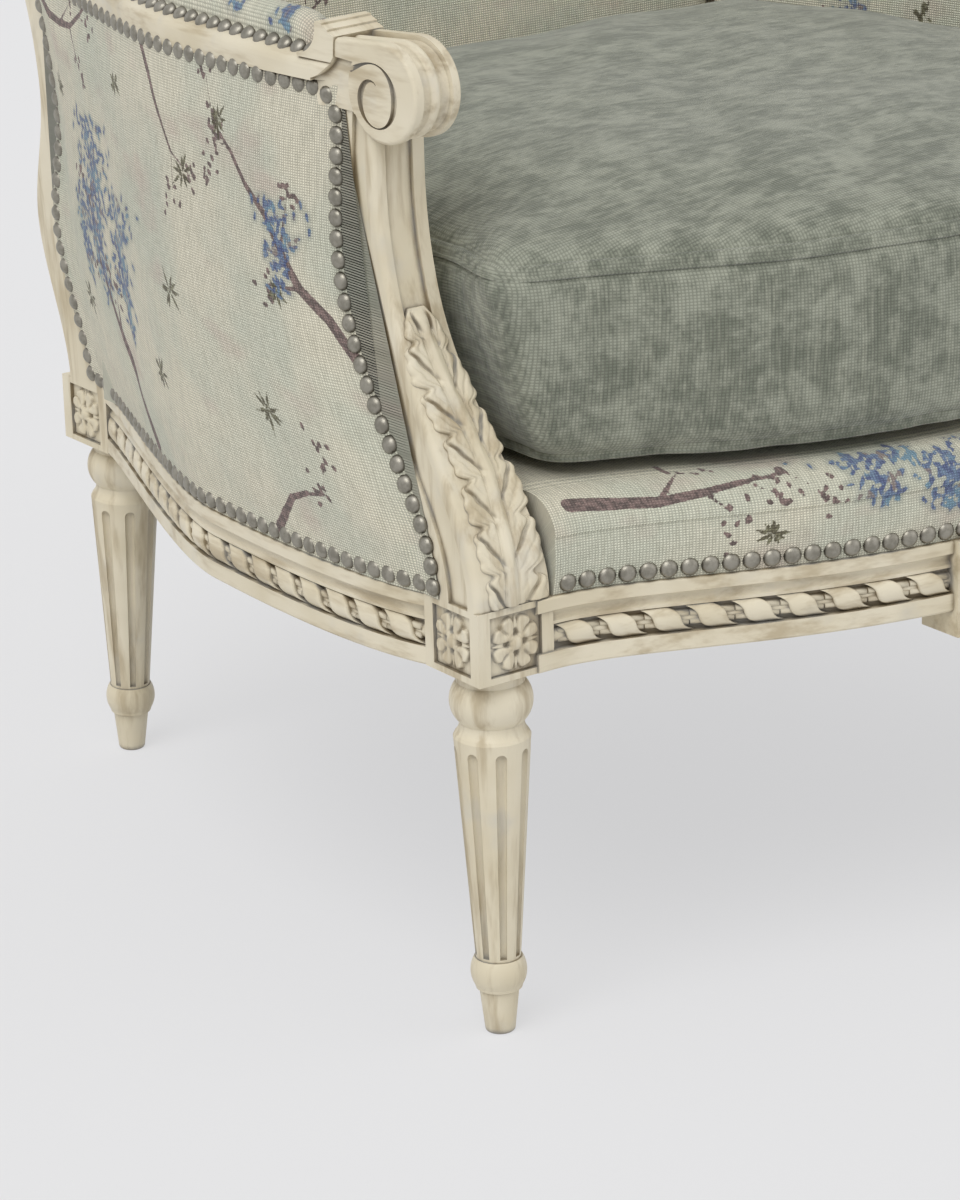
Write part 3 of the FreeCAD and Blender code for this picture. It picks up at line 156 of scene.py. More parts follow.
# %% Material helpers
class Graph:
    """A material under construction."""

    def __init__(self, name):
        self.material = bpy.data.materials.new(name)
        self.material.use_nodes = True
        self.tree = self.material.node_tree
        self.shader = self.tree.nodes["Principled BSDF"]
        self.place = self.add("ShaderNodeTexCoord").outputs["Object"]

    def add(self, kind, **settings):
        node = self.tree.nodes.new(kind)
        for key, value in settings.items():
            setattr(node, key, value)
        return node

    def put(self, socket, value):
        if isinstance(value, bpy.types.NodeSocket):
            self.tree.links.new(value, socket)
        elif isinstance(value, (tuple, list)) and len(value) == 3 and socket.type == "RGBA":
            socket.default_value = (*value, 1.0)
        else:
            socket.default_value = value

    def math(self, operation, a, b=0.0, clamp=False):
        node = self.add("ShaderNodeMath", operation=operation, use_clamp=clamp)
        self.put(node.inputs[0], a)
        self.put(node.inputs[1], b)
        return node.outputs[0]

    def mix(self, share, a, b, blend="MIX"):
        node = self.add("ShaderNodeMix", data_type="RGBA", blend_type=blend)
        self.put(node.inputs["Factor"], share)
        self.put(node.inputs[6], a)
        self.put(node.inputs[7], b)
        return node.outputs[2]

    def stretched(self, scale, turned=(0.0, 0.0, 0.0), source=None):
        node = self.add("ShaderNodeMapping")
        self.put(node.inputs["Vector"], source or self.place)
        node.inputs["Scale"].default_value = scale
        node.inputs["Rotation"].default_value = turned
        return node.outputs[0]

    def noise(self, size, detail=3.0, rough=0.5, source=None):
        """Noise with features of about this size, in metres, from 0 to 1."""
        node = self.add("ShaderNodeTexNoise")
        self.put(node.inputs["Vector"], source or self.place)
        node.inputs["Scale"].default_value = 1.0 / size
        node.inputs["Detail"].default_value = detail
        node.inputs["Roughness"].default_value = rough
        return node.outputs["Fac"]

    def waves(self, pitch, axis, source=None, warp=0.0, detail=1.0):
        """Soft stripes square to an axis, one every pitch metres."""
        node = self.add("ShaderNodeTexWave", bands_direction=axis)
        self.put(node.inputs["Vector"], source or self.place)
        node.inputs["Scale"].default_value = 2 * math.pi / (20.0 * pitch)
        node.inputs["Distortion"].default_value = warp
        node.inputs["Detail"].default_value = detail
        return node.outputs["Fac"]

    def between(self, value, low, high, out_low=0.0, out_high=1.0):
        node = self.add("ShaderNodeMapRange", interpolation_type="SMOOTHSTEP")
        self.put(node.inputs["Value"], value)
        node.inputs["From Min"].default_value = low
        node.inputs["From Max"].default_value = high
        node.inputs["To Min"].default_value = out_low
        node.inputs["To Max"].default_value = out_high
        return node.outputs["Result"]

    def hollow(self, distance, samples=8):
        """0 in the open and 1 deep in a corner, measured over a distance."""
        node = self.add("ShaderNodeAmbientOcclusion", samples=samples, only_local=False)
        node.inputs["Distance"].default_value = distance
        return self.math("SUBTRACT", 1.0, node.outputs["AO"])

    def bump(self, height, depth, strength=1.0, before=None):
        node = self.add("ShaderNodeBump")
        self.put(node.inputs["Height"], height)
        node.inputs["Distance"].default_value = depth
        node.inputs["Strength"].default_value = strength
        if before:
            self.put(node.inputs["Normal"], before)
        return node.outputs["Normal"]

    def finish(self, colour, rough, normal=None, **fixed):
        self.put(self.shader.inputs["Base Color"], colour)
        self.put(self.shader.inputs["Roughness"], rough)
        if normal:
            self.put(self.shader.inputs["Normal"], normal)
        for name, value in fixed.items():
            self.put(self.shader.inputs[name.replace("_", " ")], value)
        return self.material


def wear(node_name, material):
    """Gives a solid from the model its finish."""
    mesh = nodes[node_name].data
    mesh.materials.clear()
    mesh.materials.append(material)


# %% [markdown]
# ## Old cream paint
# The frame is painted cream, then rubbed with a thin umber and blue-grey glaze that stays
# in the hollows and leaves streaks along the grain. The hollows are found by how much of
# the sky each point sees nearby, so this dark tone is also painted shade in the carving,
# at joints and where the wood meets cloth, nails and floor; noise breaks it up.

# %% Painted wood
def painted_wood(name, grain):
    g = Graph(name)
    tone = g.noise(0.06, 2.0)
    streak = g.noise(0.012, 4.0, 0.6, g.stretched(grain))
    fine = g.noise(0.004, 3.0, 0.6, g.stretched(grain))
    cream = g.mix(g.between(tone, 0.35, 0.7), (0.80, 0.73, 0.57), (0.70, 0.62, 0.45))
    cool = g.mix(g.between(g.noise(0.045, 3.0, 0.6), 0.56, 0.75, 0.0, 0.5), cream, (0.60, 0.58, 0.52))
    rubbed = g.mix(g.between(streak, 0.46, 0.70, 0.0, 0.7), cool, (0.46, 0.37, 0.23))
    # Painted shade as well as glaze: points that see little sky within 12 and 4 mm take the dark tone,
    # including joints and wood beside cloth, nails and floor.
    deep = g.hollow(0.012)
    near = g.hollow(0.004)
    glaze_and_shade = g.math("ADD", g.math("MULTIPLY", deep, 0.8), g.math("MULTIPLY", near, 0.9))
    broken = g.math("MULTIPLY", glaze_and_shade, g.between(streak, 0.2, 0.75, 0.65, 1.25), clamp=True)
    glaze_and_shade_tone = g.mix(g.between(g.noise(0.03, 2.0), 0.4, 0.65), (0.23, 0.175, 0.10), (0.27, 0.26, 0.24))
    colour = g.mix(g.between(broken, 0.12, 0.9, 0.0, 0.9), rubbed, glaze_and_shade_tone)
    normal = g.bump(g.math("ADD", streak, fine), 0.0004, 0.5)
    return g.finish(colour, g.between(streak, 0.3, 0.8, 0.42, 0.62), normal, Specular_IOR_Level=0.4)


paint_upright = painted_wood("paint_upright", (1.0, 1.0, 0.12))
paint_length = painted_wood("paint_length", (1.0, 0.12, 1.0))
paint_across = painted_wood("paint_across", (0.12, 1.0, 1.0))
for side in ("left", "right"):
    for piece in ("front_leg_", "back_leg_", "arm_post_", "back_stile_"):
        wear(piece + side, paint_upright)
    wear("side_rail_" + side, paint_length)
    wear("arm_rail_" + side, paint_length)
for piece in ("front_rail", "front_centre_block", "back_rail", "crest_rail"):
    wear(piece, paint_across)

# %% Bare wood, webbing and dust cloth
def bare_wood():
    g = Graph("bare_wood")
    ring = g.waves(0.006, "X", g.stretched((1.0, 0.3, 1.0)), 3.0, 2.0)
    colour = g.mix(ring, (0.55, 0.39, 0.22), (0.42, 0.28, 0.15))
    return g.finish(colour, 0.7, g.bump(ring, 0.0003, 0.4))


def webbing_cloth(axis):
    g = Graph("webbing_" + axis.lower())
    thread = g.math("MULTIPLY", g.waves(0.0022, "X"), g.waves(0.0022, "Y"))
    stripe = g.between(g.waves(0.078, axis), 0.42, 0.5)
    ground = g.mix(stripe, (0.45, 0.34, 0.2), (0.36, 0.27, 0.16))
    colour = g.mix(thread, ground, (0.6, 0.48, 0.32))
    return g.finish(colour, 0.9, g.bump(thread, 0.0006, 0.7))


def dust_cloth():
    g = Graph("dust_cloth")
    thread = g.math("MULTIPLY", g.waves(0.0016, "X"), g.waves(0.0016, "Y"))
    colour = g.mix(thread, (0.035, 0.035, 0.038), (0.06, 0.06, 0.064))
    return g.finish(colour, 0.95, g.bump(thread, 0.0003, 0.6))


unpainted = bare_wood()
for name in nodes:
    if name.endswith(("brace_left", "brace_right")) or "tack_rail" in name:
        wear(name, unpainted)
wear("webbing_lengthwise", webbing_cloth("X"))
wear("webbing_crosswise", webbing_cloth("Y"))
wear("dust_cover", dust_cloth())

# %% [markdown]
# ## The curves the chair is built on
# Seen from above, each side swells behind the front leg and draws in towards the back.
# The rail and the arm follow two such curves, and everything between them, cloth and
# nails included, lies on the wall that blends one into the other. These are the same
# curves that the solids were drawn with, so what is made on them fits the wood.

# %% Plan and side curves
FRONT_LEG_Y = -0.285
FRONT_LEG_X = 0.323
REAR_LEG_X = 0.248
REAR_LEG_Y = 0.2544
RAIL_TOP = 0.278
ARM_TOP = 0.586
COVER_TOP = 0.574
SCROLL_Y = FRONT_LEG_Y + 0.046
BACK_START = 0.560
LEAN = (0.393 - REAR_LEG_Y - 0.022) / (1.0 - BACK_START)


def cubic(poles, t):
    """Points of a cubic curve drawn by four poles."""
    p = np.asarray(poles, float)
    t = np.asarray(t, float)[..., None]
    s = 1 - t
    return s**3 * p[0] + 3 * s * s * t * p[1] + 3 * s * t * t * p[2] + t**3 * p[3]


def side_curve(front, rear, bulge):
    """Many points of a side curve seen from above, front to rear."""
    run, narrow = rear[1] - front[1], rear[0] - front[0]
    shares = [(front[0], 0.0), (front[0] - 1.2 * bulge, 0.11), (front[0] - bulge, 0.315),
              (front[0] - 0.77 * bulge, 0.445), (front[0] - 0.77 * bulge, 0.445),
              (front[0] - 0.54 * bulge, 0.563), (rear[0] - 0.22 * narrow, 0.882), (rear[0], 1.0)]
    poles = [(x, front[1] + share * run) for x, share in shares]
    t = np.linspace(0, 1, 60)
    return np.vstack([cubic(poles[:4], t), cubic(poles[4:], t)[1:]])


RAIL_CURVE = side_curve((-0.350, -0.258), (-0.2767, 0.2257), 0.015)
ARM_CURVE = side_curve((-0.356, SCROLL_Y), (-0.3007, REAR_LEG_Y - 0.004), 0.009)


def wall_x(y, z, inset=0.0):
    """Where the side wall stands at depth y and height z."""
    y, z, inset = np.broadcast_arrays(np.asarray(y, float), z, inset)
    out = np.empty(y.shape)
    for i in np.ndindex(y.shape):
        share = (z[i] - RAIL_TOP) / (COVER_TOP - RAIL_TOP)
        curve = RAIL_CURVE + share * (ARM_CURVE - RAIL_CURVE)
        out[i] = np.interp(y[i], curve[:, 1], curve[:, 0]) + inset[i]
    return out


def wall_row(ys, z, inset):
    """The same for many depths at one height."""
    share = (z - RAIL_TOP) / (COVER_TOP - RAIL_TOP)
    curve = RAIL_CURVE + share * (ARM_CURVE - RAIL_CURVE)
    return np.interp(ys, curve[:, 1], curve[:, 0]) + inset


def chain(*parts):
    return np.vstack([np.asarray(p, float) for p in parts])


T = np.linspace(0, 1, 50)
post_base = FRONT_LEG_Y - 0.026
POST_FRONT = chain(cubic([(post_base, 0.278), (post_base - 0.004, 0.338), (post_base + 0.085, 0.400),
                          (post_base + 0.085, 0.520)], T), [(post_base + 0.085, 0.578)])
rear_base = FRONT_LEG_Y - 0.027 + 0.038
POST_REAR = chain(cubic([(rear_base, 0.278), (rear_base, 0.345), (rear_base + 0.084, 0.385),
                         (rear_base + 0.084, 0.480)], T),
                  cubic([(rear_base + 0.084, 0.480), (rear_base + 0.084, 0.505), (rear_base + 0.079, 0.530),
                         (rear_base + 0.074, 0.578)], T)[1:])
stile_base = REAR_LEG_Y + 0.017
stile_top = REAR_LEG_Y + 0.022
STILE_REAR = chain(
    cubic([(stile_base, 0.278), (stile_base, 0.315),
           (stile_base + 0.020, 0.350), (stile_base + 0.020, 0.385)], T),
    cubic([(stile_base + 0.020, 0.385), (stile_base + 0.020, 0.420), (stile_top - 0.010, 0.450),
           (stile_top - 0.010, 0.488)], T)[1:],
    cubic([(stile_top - 0.010, 0.488), (stile_top - 0.010, 0.5168), (stile_top - 0.0252 * LEAN, 0.5348),
           (stile_top, BACK_START)], T)[1:],
    [(stile_top + LEAN * 0.44, 1.0)])


def edge_y(edge, z):
    """Depth of a post or stile edge at a height."""
    return np.interp(z, edge[:, 1], edge[:, 0])


def smooth(share):
    share = np.clip(share, 0, 1)
    return share * share * (3 - 2 * share)


print("arm to rail at mid depth", wall_x(0.0, 0.278), wall_x(0.0, 0.574))

# %% [markdown]
# ## Turning points into pieces
# Most soft and carved pieces here start as a grid of points that lies on a known surface.
# One helper makes the grid a mesh with its own cloth coordinates in metres, can close it
# behind, and can mirror it for the other side of the chair with its faces turned back out.

# %% Mesh helpers
def plain_object(name, mesh):
    obj = bpy.data.objects.new(name, mesh)
    scene.collection.objects.link(obj)
    return obj


def grid_mesh(name, points, cloth, inward=None, mirror=False, layers=None):
    """A grid of points as a mesh; inward closes it behind by that offset."""
    rows, cols = points.shape[:2]
    verts = points.reshape(-1, 3)
    index = np.arange(rows * cols).reshape(rows, cols)
    quads = np.stack([index[:-1, :-1], index[:-1, 1:], index[1:, 1:], index[1:, :-1]], -1).reshape(-1, 4)
    if mirror:
        verts = verts * (-1, 1, 1)
        quads = quads[:, ::-1]
    faces = quads.tolist()
    if inward is not None:
        rim = np.concatenate([index[0, :], index[1:, -1], index[-1, -2::-1], index[-2:0:-1, 0]])
        back = verts[rim] + np.asarray(inward) * ((-1, 1, 1) if mirror else (1, 1, 1))
        start = len(verts)
        verts = np.vstack([verts, back])
        count = len(rim)
        for i in range(count):
            j = (i + 1) % count
            side = [int(rim[j]), int(rim[i]), start + i, start + j]
            faces.append(side[::-1] if mirror else side)
        cap = [start + i for i in range(count)]
        faces.append(cap if mirror else cap[::-1])
    mesh = bpy.data.meshes.new(name)
    mesh.from_pydata(verts.tolist(), [], faces)
    flat = cloth.reshape(-1, 2)
    at = np.empty(len(mesh.loops), dtype=np.int64)
    mesh.loops.foreach_get("vertex_index", at)
    uv = np.zeros((len(verts), 2))
    uv[: len(flat)] = flat
    if inward is not None:
        uv[len(flat):] = flat[rim] + 0.003
    layer = mesh.uv_layers.new(name="cloth")
    layer.data.foreach_set("uv", uv[at].ravel())
    for key, values in (layers or {}).items():
        colours = np.zeros((len(verts), 4))
        colours[:, 3] = 1
        colours[: len(flat), :3] = values.reshape(-1, 3)
        mesh.color_attributes.new(key, "FLOAT_COLOR", "POINT").data.foreach_set("color", colours.ravel())
    mesh.polygons.foreach_set("use_smooth", np.ones(len(mesh.polygons), bool))
    mesh.update()
    return mesh


def soften(obj, degrees=40):
    """Smooth shading that keeps edges sharper than an angle."""
    mesh = obj.data
    bm = bmesh.new()
    bm.from_mesh(mesh)
    limit = math.radians(degrees)
    for edge in bm.edges:
        edge.smooth = not (edge.is_manifold and edge.calc_face_angle(0.0) > limit)
    bm.to_mesh(mesh)
    bm.free()
    mesh.polygons.foreach_set("use_smooth", np.ones(len(mesh.polygons), bool))


def settle(obj, body, slot_name, *replaced, fill=None):
    """Rides on a body and stands for the solids it replaces; its finish slot name is not used."""
    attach(obj, body)
    if replaced:
        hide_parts(*replaced)


# %% [markdown]
# ## The figured cloth
# The covering is a heavy woven linen in pale green and cream with branches, hanging blue
# blossom and small sprigs. The drawing is made of tapered strokes. Each point of a cloth
# grid stores how deep it is inside the nearest stroke of each colour, and the material
# cuts that smooth field off at its edge, so the outline stays crisp between the points.

# %% Draw the motifs
def spray(rng, start, heading, length, thick):
    """A crooked branch with side twigs; returns strokes and the ends of the twigs."""
    strokes, tips = [], []
    place, angle = np.array(start, float), heading
    steps = max(4, int(length / 0.022))
    for step in range(steps):
        angle += rng.normal(0, 0.22)
        nxt = place + (length / steps) * np.array([math.cos(angle), math.sin(angle)])
        wide = thick * (1 - 0.8 * step / steps)
        strokes.append((*place, *nxt, wide, wide * 0.9))
        if step > 0 and rng.random() < 0.75:
            lean = angle + rng.choice([-1, 1]) * rng.uniform(0.5, 1.1)
            twig = nxt + rng.uniform(0.015, 0.04) * np.array([math.cos(lean), math.sin(lean)])
            strokes.append((*nxt, *twig, wide * 0.5, 0.0005))
            tips.append(twig)
        place = nxt
    tips.append(place)
    return strokes, tips


def blossom(rng, centre, spread, count, size):
    """Florets scattered round a place, as short fat strokes."""
    out = []
    for _ in range(count):
        x, y = centre + rng.normal(0, spread, 2)
        turn = rng.uniform(0, 2 * math.pi)
        step = size * rng.uniform(0.3, 0.9)
        out.append((x, y, x + step * math.cos(turn), y + step * math.sin(turn), size * 0.55, size * 0.4))
    return out


def hanging(rng, top, length, width):
    """A long drooping cluster of small florets."""
    out = []
    for _ in range(int(length * width * 52000)):
        fall = rng.beta(1.3, 1.6)
        x = top[0] + width * (1 - 0.75 * fall) * rng.normal(0, 0.42)
        y = top[1] - length * fall
        turn = rng.uniform(0, 2 * math.pi)
        out.append((x, y, x + 0.0035 * math.cos(turn), y + 0.0035 * math.sin(turn), 0.0016, 0.0012))
    return out


def sprig(rng, centre, size):
    """A burst of pointed leaves."""
    out = []
    lean = rng.uniform(0, math.pi)
    for k in range(9):
        turn = lean + k * 2 * math.pi / 9 + rng.normal(0, 0.15)
        far = size * rng.uniform(0.7, 1.1)
        tip = centre + far * np.array([math.cos(turn), math.sin(turn)])
        mid = centre + 0.45 * far * np.array([math.cos(turn), math.sin(turn)])
        out.append((*centre, *mid, 0.0004, 0.0016))
        out.append((*mid, *tip, 0.0016, 0.0002))
    return out


def depth_field(uv, strokes):
    """How deep each point is inside the nearest stroke, as 0.5 plus 60 per metre."""
    points = uv.reshape(-1, 2)
    best = np.full(len(points), -0.02)
    order = np.argsort(points[:, 0], kind="stable")
    xs = points[order, 0]
    for ax, ay, bx, by, ra, rb in strokes:
        reach = max(ra, rb) + 0.008
        low, high = np.searchsorted(xs, (min(ax, bx) - reach, max(ax, bx) + reach))
        pick = order[low:high]
        p = points[pick]
        keep = (p[:, 1] > min(ay, by) - reach) & (p[:, 1] < max(ay, by) + reach)
        pick, p = pick[keep], p[keep]
        run = np.array([bx - ax, by - ay])
        share = np.clip(((p - (ax, ay)) @ run) / max(run @ run, 1e-12), 0, 1)
        away = np.hypot(*(p - (ax, ay) - share[:, None] * run).T)
        best[pick] = np.maximum(best[pick], ra + share * (rb - ra) - away)
    return np.clip(0.5 + 60 * best, 0, 1).reshape(uv.shape[:2])


def motifs(uv, seed, sprays, hangs, sprigs):
    """The three drawn layers of a cloth: branches, leaves, blossom."""
    rng = np.random.default_rng(seed)
    wood, leaf, bloom = [], [], []
    for start, heading, length, thick in sprays:
        strokes, tips = spray(rng, start, heading, length, thick)
        wood += strokes
        for tip in tips:
            wood += blossom(rng, tip, 0.0055, 9, 0.0035)
    for top, length, width in hangs:
        bloom += hanging(rng, top, length, width)
    for centre, size in sprigs:
        leaf += sprig(rng, np.array(centre), size)
    return {"drawing": np.stack([depth_field(uv, wood), depth_field(uv, leaf), depth_field(uv, bloom)], -1)}

# %% Closed pieces made of rings
def outward(mesh):
    """Turns a closed mesh's faces out if its signed volume is negative."""
    count = len(mesh.polygons)
    centre, normal, area = np.empty(count * 3), np.empty(count * 3), np.empty(count)
    mesh.polygons.foreach_get("center", centre)
    mesh.polygons.foreach_get("normal", normal)
    mesh.polygons.foreach_get("area", area)
    if ((centre.reshape(-1, 3) * normal.reshape(-1, 3)).sum(1) * area).sum() < 0:
        mesh.flip_normals()


def ring_mesh(name, points, cloth, material, mirror=False, layers=None):
    """Rings of points, one row each, joined into a closed piece with its cloth coordinates."""
    rows, cols = points.shape[:2]
    verts = points.reshape(-1, 3) * ((-1, 1, 1) if mirror else (1, 1, 1))
    index = np.arange(rows * cols).reshape(rows, cols)
    after = np.roll(index, -1, axis=1)
    quads = np.stack([index[:-1], after[:-1], after[1:], index[1:]], -1).reshape(-1, 4)
    faces = quads.tolist() + [index[0, ::-1].tolist(), index[-1].tolist()]
    mesh = bpy.data.meshes.new(name)
    mesh.from_pydata(verts.tolist(), [], faces)
    corner = np.stack([cloth[:-1, :-1], cloth[:-1, 1:], cloth[1:, 1:], cloth[1:, :-1]], 2).reshape(-1, 2)
    uv = np.vstack([corner, cloth[0, -2::-1], cloth[-1, :-1]])
    mesh.uv_layers.new(name="cloth").data.foreach_set("uv", uv.ravel())
    if layers is not None:
        colours = np.ones((rows * cols, 4))
        colours[:, :3] = layers.reshape(-1, 3)
        layer = mesh.color_attributes.new("drawing", "FLOAT_COLOR", "POINT")
        layer.data.foreach_set("color", colours.ravel())
    mesh.polygons.foreach_set("use_smooth", np.ones(len(mesh.polygons), bool))
    outward(mesh)
    mesh.materials.append(material)
    obj = plain_object(name, mesh)
    soften(obj, 50)
    return obj


# %% [markdown]
# ## Figured linen as a material
# Real cloth of this kind is a coarse plain weave: thick threads cross every millimetre or
# two, with pits between them. Two sets of soft stripes on the cloth's own coordinates give
# the threads, the drawing layer picks which dye each thread has, and painted shade darkens
# the pits while a painted highlight makes the thread crowns a little lighter.

# %% Figured linen
def figured_linen(name, drawn=True):
    g = Graph(name)
    cloth = g.add("ShaderNodeUVMap", uv_map="cloth").outputs["UV"]
    across = g.waves(0.0019, "X", cloth, 0.6, 1.0)
    along = g.waves(0.0016, "Y", cloth, 0.6, 1.0)
    thread = g.math("MULTIPLY", across, along)
    slub = g.noise(0.0022, 3.0, 0.6, g.stretched((1.0, 0.14, 1.0), source=cloth))
    slub_two = g.noise(0.0022, 3.0, 0.6, g.stretched((0.14, 1.0, 1.0), source=cloth))
    cloud = g.noise(0.11, 3.0, 0.55, cloth)
    ground = g.mix(g.between(cloud, 0.40, 0.62), (0.90, 0.85, 0.68), (0.76, 0.77, 0.63))
    rosy = g.noise(0.07, 2.0, 0.5, g.stretched((1.0, 1.6, 1.0), source=cloth))
    ground = g.mix(g.between(rosy, 0.56, 0.72, 0, 0.6),
                   ground, (0.74, 0.61, 0.52))
    ground = g.mix(g.between(slub, 0.38, 0.68, 0.0, 0.30), ground, (0.44, 0.43, 0.33))
    ground = g.mix(g.between(slub_two, 0.5, 0.72, 0.0, 0.4), ground, (0.93, 0.90, 0.74))
    if drawn:
        layer = g.add("ShaderNodeVertexColor", layer_name="drawing").outputs["Color"]
        parts = g.add("ShaderNodeSeparateColor")
        g.put(parts.inputs[0], layer)
        fray = g.math("MULTIPLY", g.math("SUBTRACT", g.noise(0.0017, 2.0, 0.6, cloth), 0.5), 0.10)

        def cut(channel, low=0.50, high=0.53, full=0.92):
            return g.between(g.math("ADD", parts.outputs[channel], fray), low, high, 0.0, full)

        flecks = g.noise(0.004, 2.0, 0.6, cloth)
        bark = g.mix(g.between(flecks, 0.4, 0.62), (0.125, 0.085, 0.085), (0.30, 0.20, 0.19))
        green = g.mix(g.between(flecks, 0.45, 0.65), (0.10, 0.085, 0.045), (0.26, 0.25, 0.15))
        hue = g.noise(0.018, 2.0, 0.6, cloth)
        blue = g.mix(g.between(flecks, 0.42, 0.6), (0.10, 0.135, 0.29), (0.20, 0.29, 0.44))
        blue = g.mix(g.between(hue, 0.5, 0.62), blue, (0.21, 0.36, 0.47))
        fawn = g.noise(0.011, 2.0, 0.6, cloth)
        blue = g.mix(g.between(fawn, 0.56, 0.66, 0, 0.8), blue, (0.36, 0.27, 0.21))
        halo = g.mix(g.between(parts.outputs[2], 0.30, 0.5, 0.0, 0.45), ground, (0.39, 0.42, 0.37))
        ground = g.mix(cut(0), halo, bark)
        ground = g.mix(cut(1), ground, green)
        ground = g.mix(cut(2), ground, blue)
    # Painted shade darkens the pits between threads to 0.62 and a painted highlight lifts the thread crowns
    # to 1.10.
    pit_shade = g.between(thread, 0.02, 0.40, 0.62, 1.10)
    shade = g.add("ShaderNodeCombineColor")
    for socket in shade.inputs[:3]:
        g.put(socket, pit_shade)
    colour = g.mix(1.0, ground, shade.outputs[0], "MULTIPLY")
    normal = g.bump(g.math("ADD", thread, g.math("MULTIPLY", slub, 0.6)), 0.0007, 0.8)
    g.put(g.shader.inputs["Sheen Weight"], 0.15)
    return g.finish(colour, 0.9, normal, Specular_IOR_Level=0.2)


linen = figured_linen("figured_linen")

# %% [markdown]
# ## The outside panels
# Each side is closed by one cloth drawn tight over thin wadding and nailed all round, so
# it lies just under the wood at its edge and swells a little in the middle.

# %% Side panels
def side_skin(y, z):
    """Surface of the outside cloth: on the post at its front edge, on the wall behind."""
    y = np.asarray(y, float)
    share = (z - RAIL_TOP) / (COVER_TOP - RAIL_TOP)
    start = edge_y(POST_REAR, z)
    wall = wall_row(y, z, 0.0016)
    drawn_in = (-0.3508 - 0.0035 * share) - wall_row(np.array([start]), z, 0.0016)[0]
    return wall + drawn_in * (1 - smooth((y - start) / 0.095))


def panel_top(y):
    """Upper edge of the side opening: level, with a rounded corner behind the scroll."""
    corner, radius = SCROLL_Y + 0.030, 0.022
    away = np.clip(corner + radius - y, 0, radius)
    return COVER_TOP - radius + np.sqrt(np.maximum(radius**2 - away**2, 0))


def side_panel(side):
    stations, rows = 330, 180
    s = np.linspace(0, 1, stations)
    t = np.linspace(0, 1, rows)
    front = np.empty((stations, rows, 3))
    for j, share in enumerate(t):
        z = RAIL_TOP + share * (COVER_TOP - RAIL_TOP)
        y0 = edge_y(POST_REAR, z)
        y1 = edge_y(STILE_REAR, z) - 0.024
        y = y0 + s * (y1 - y0)
        edge = np.minimum.reduce([y - y0, y1 - y, np.full_like(y, z - RAIL_TOP),
                                  np.full_like(y, COVER_TOP - z)])
        swell = smooth(edge / 0.05) * 0.0050 + smooth(edge / 0.008) * 0.0012
        fold = 0.0016 * np.exp(-(((y - 0.105 - 0.04 * (share - 0.5)) / 0.013) ** 2)) * smooth(edge / 0.04)
        x = side_skin(y, z) - swell + fold
        front[:, j] = np.stack([x, y, np.full_like(y, z)], 1)
    front[:, :, 2] = np.minimum(front[:, :, 2], panel_top(front[:, :, 1]))
    inner = front[:, ::-1][:, ::12] + (0.0035, 0, 0)
    points = np.concatenate([front, inner], 1)
    u = np.linspace(0.46, 0, stations)[:, None] * np.ones(points.shape[1] + 1)
    v = np.concatenate([front[0, :, 2], inner[0, :, 2], front[0, :1, 2]]) - RAIL_TOP
    v = v[None, :] * np.ones((stations, 1))
    cloth = np.stack([u, v], -1)
    drawn = motifs(cloth[:, :-1], 11 if side == "right" else 12,
                   [((0.015, 0.275), -0.35, 0.15, 0.0035), ((0.17, 0.015), 1.9, 0.16, 0.0055),
                    ((0.455, 0.13), 2.5, 0.17, 0.0045), ((0.24, 0.285), -0.9, 0.10, 0.0025),
                    ((0.33, 0.01), 0.9, 0.07, 0.0035)],
                   [((0.11, 0.215), 0.13, 0.05), ((0.165, 0.175), 0.10, 0.045), ((0.075, 0.16), 0.07, 0.03),
                    ((0.405, 0.215), 0.06, 0.03)],
                   [((0.30, 0.215), 0.017), ((0.345, 0.255), 0.014), ((0.27, 0.135), 0.018),
                    ((0.36, 0.085), 0.017), ((0.225, 0.075), 0.015), ((0.055, 0.075), 0.016),
                    ((0.40, 0.16), 0.012), ((0.04, 0.22), 0.014), ((0.19, 0.25), 0.013)])["drawing"]
    obj = ring_mesh("side_cloth_" + side, points, cloth, linen, side == "left", drawn)
    settle(obj, "frame", "tapestry", "side_panel_" + side, fill=0.9)
    return obj


for side in ("right", "left"):
    side_panel(side)
print("side cloths made")

# %% [markdown]
# ## The seat border
# Below the loose cushion the seat is a sprung deck. Its cloth comes up from the rail,
# rolls over a stuffed edge and runs back under the cushion.

# %% Seat border and deck
FRONT_POLES = [(-0.296, -0.3135), (-0.236, -0.3135), (-0.145, -0.389), (0.0, -0.389)]


def front_y(x):
    """Depth of the front rail's face at x."""
    t = np.linspace(0, 1, 80)
    half = cubic(FRONT_POLES, t)
    return np.interp(-np.abs(x), half[:, 0], half[:, 1])


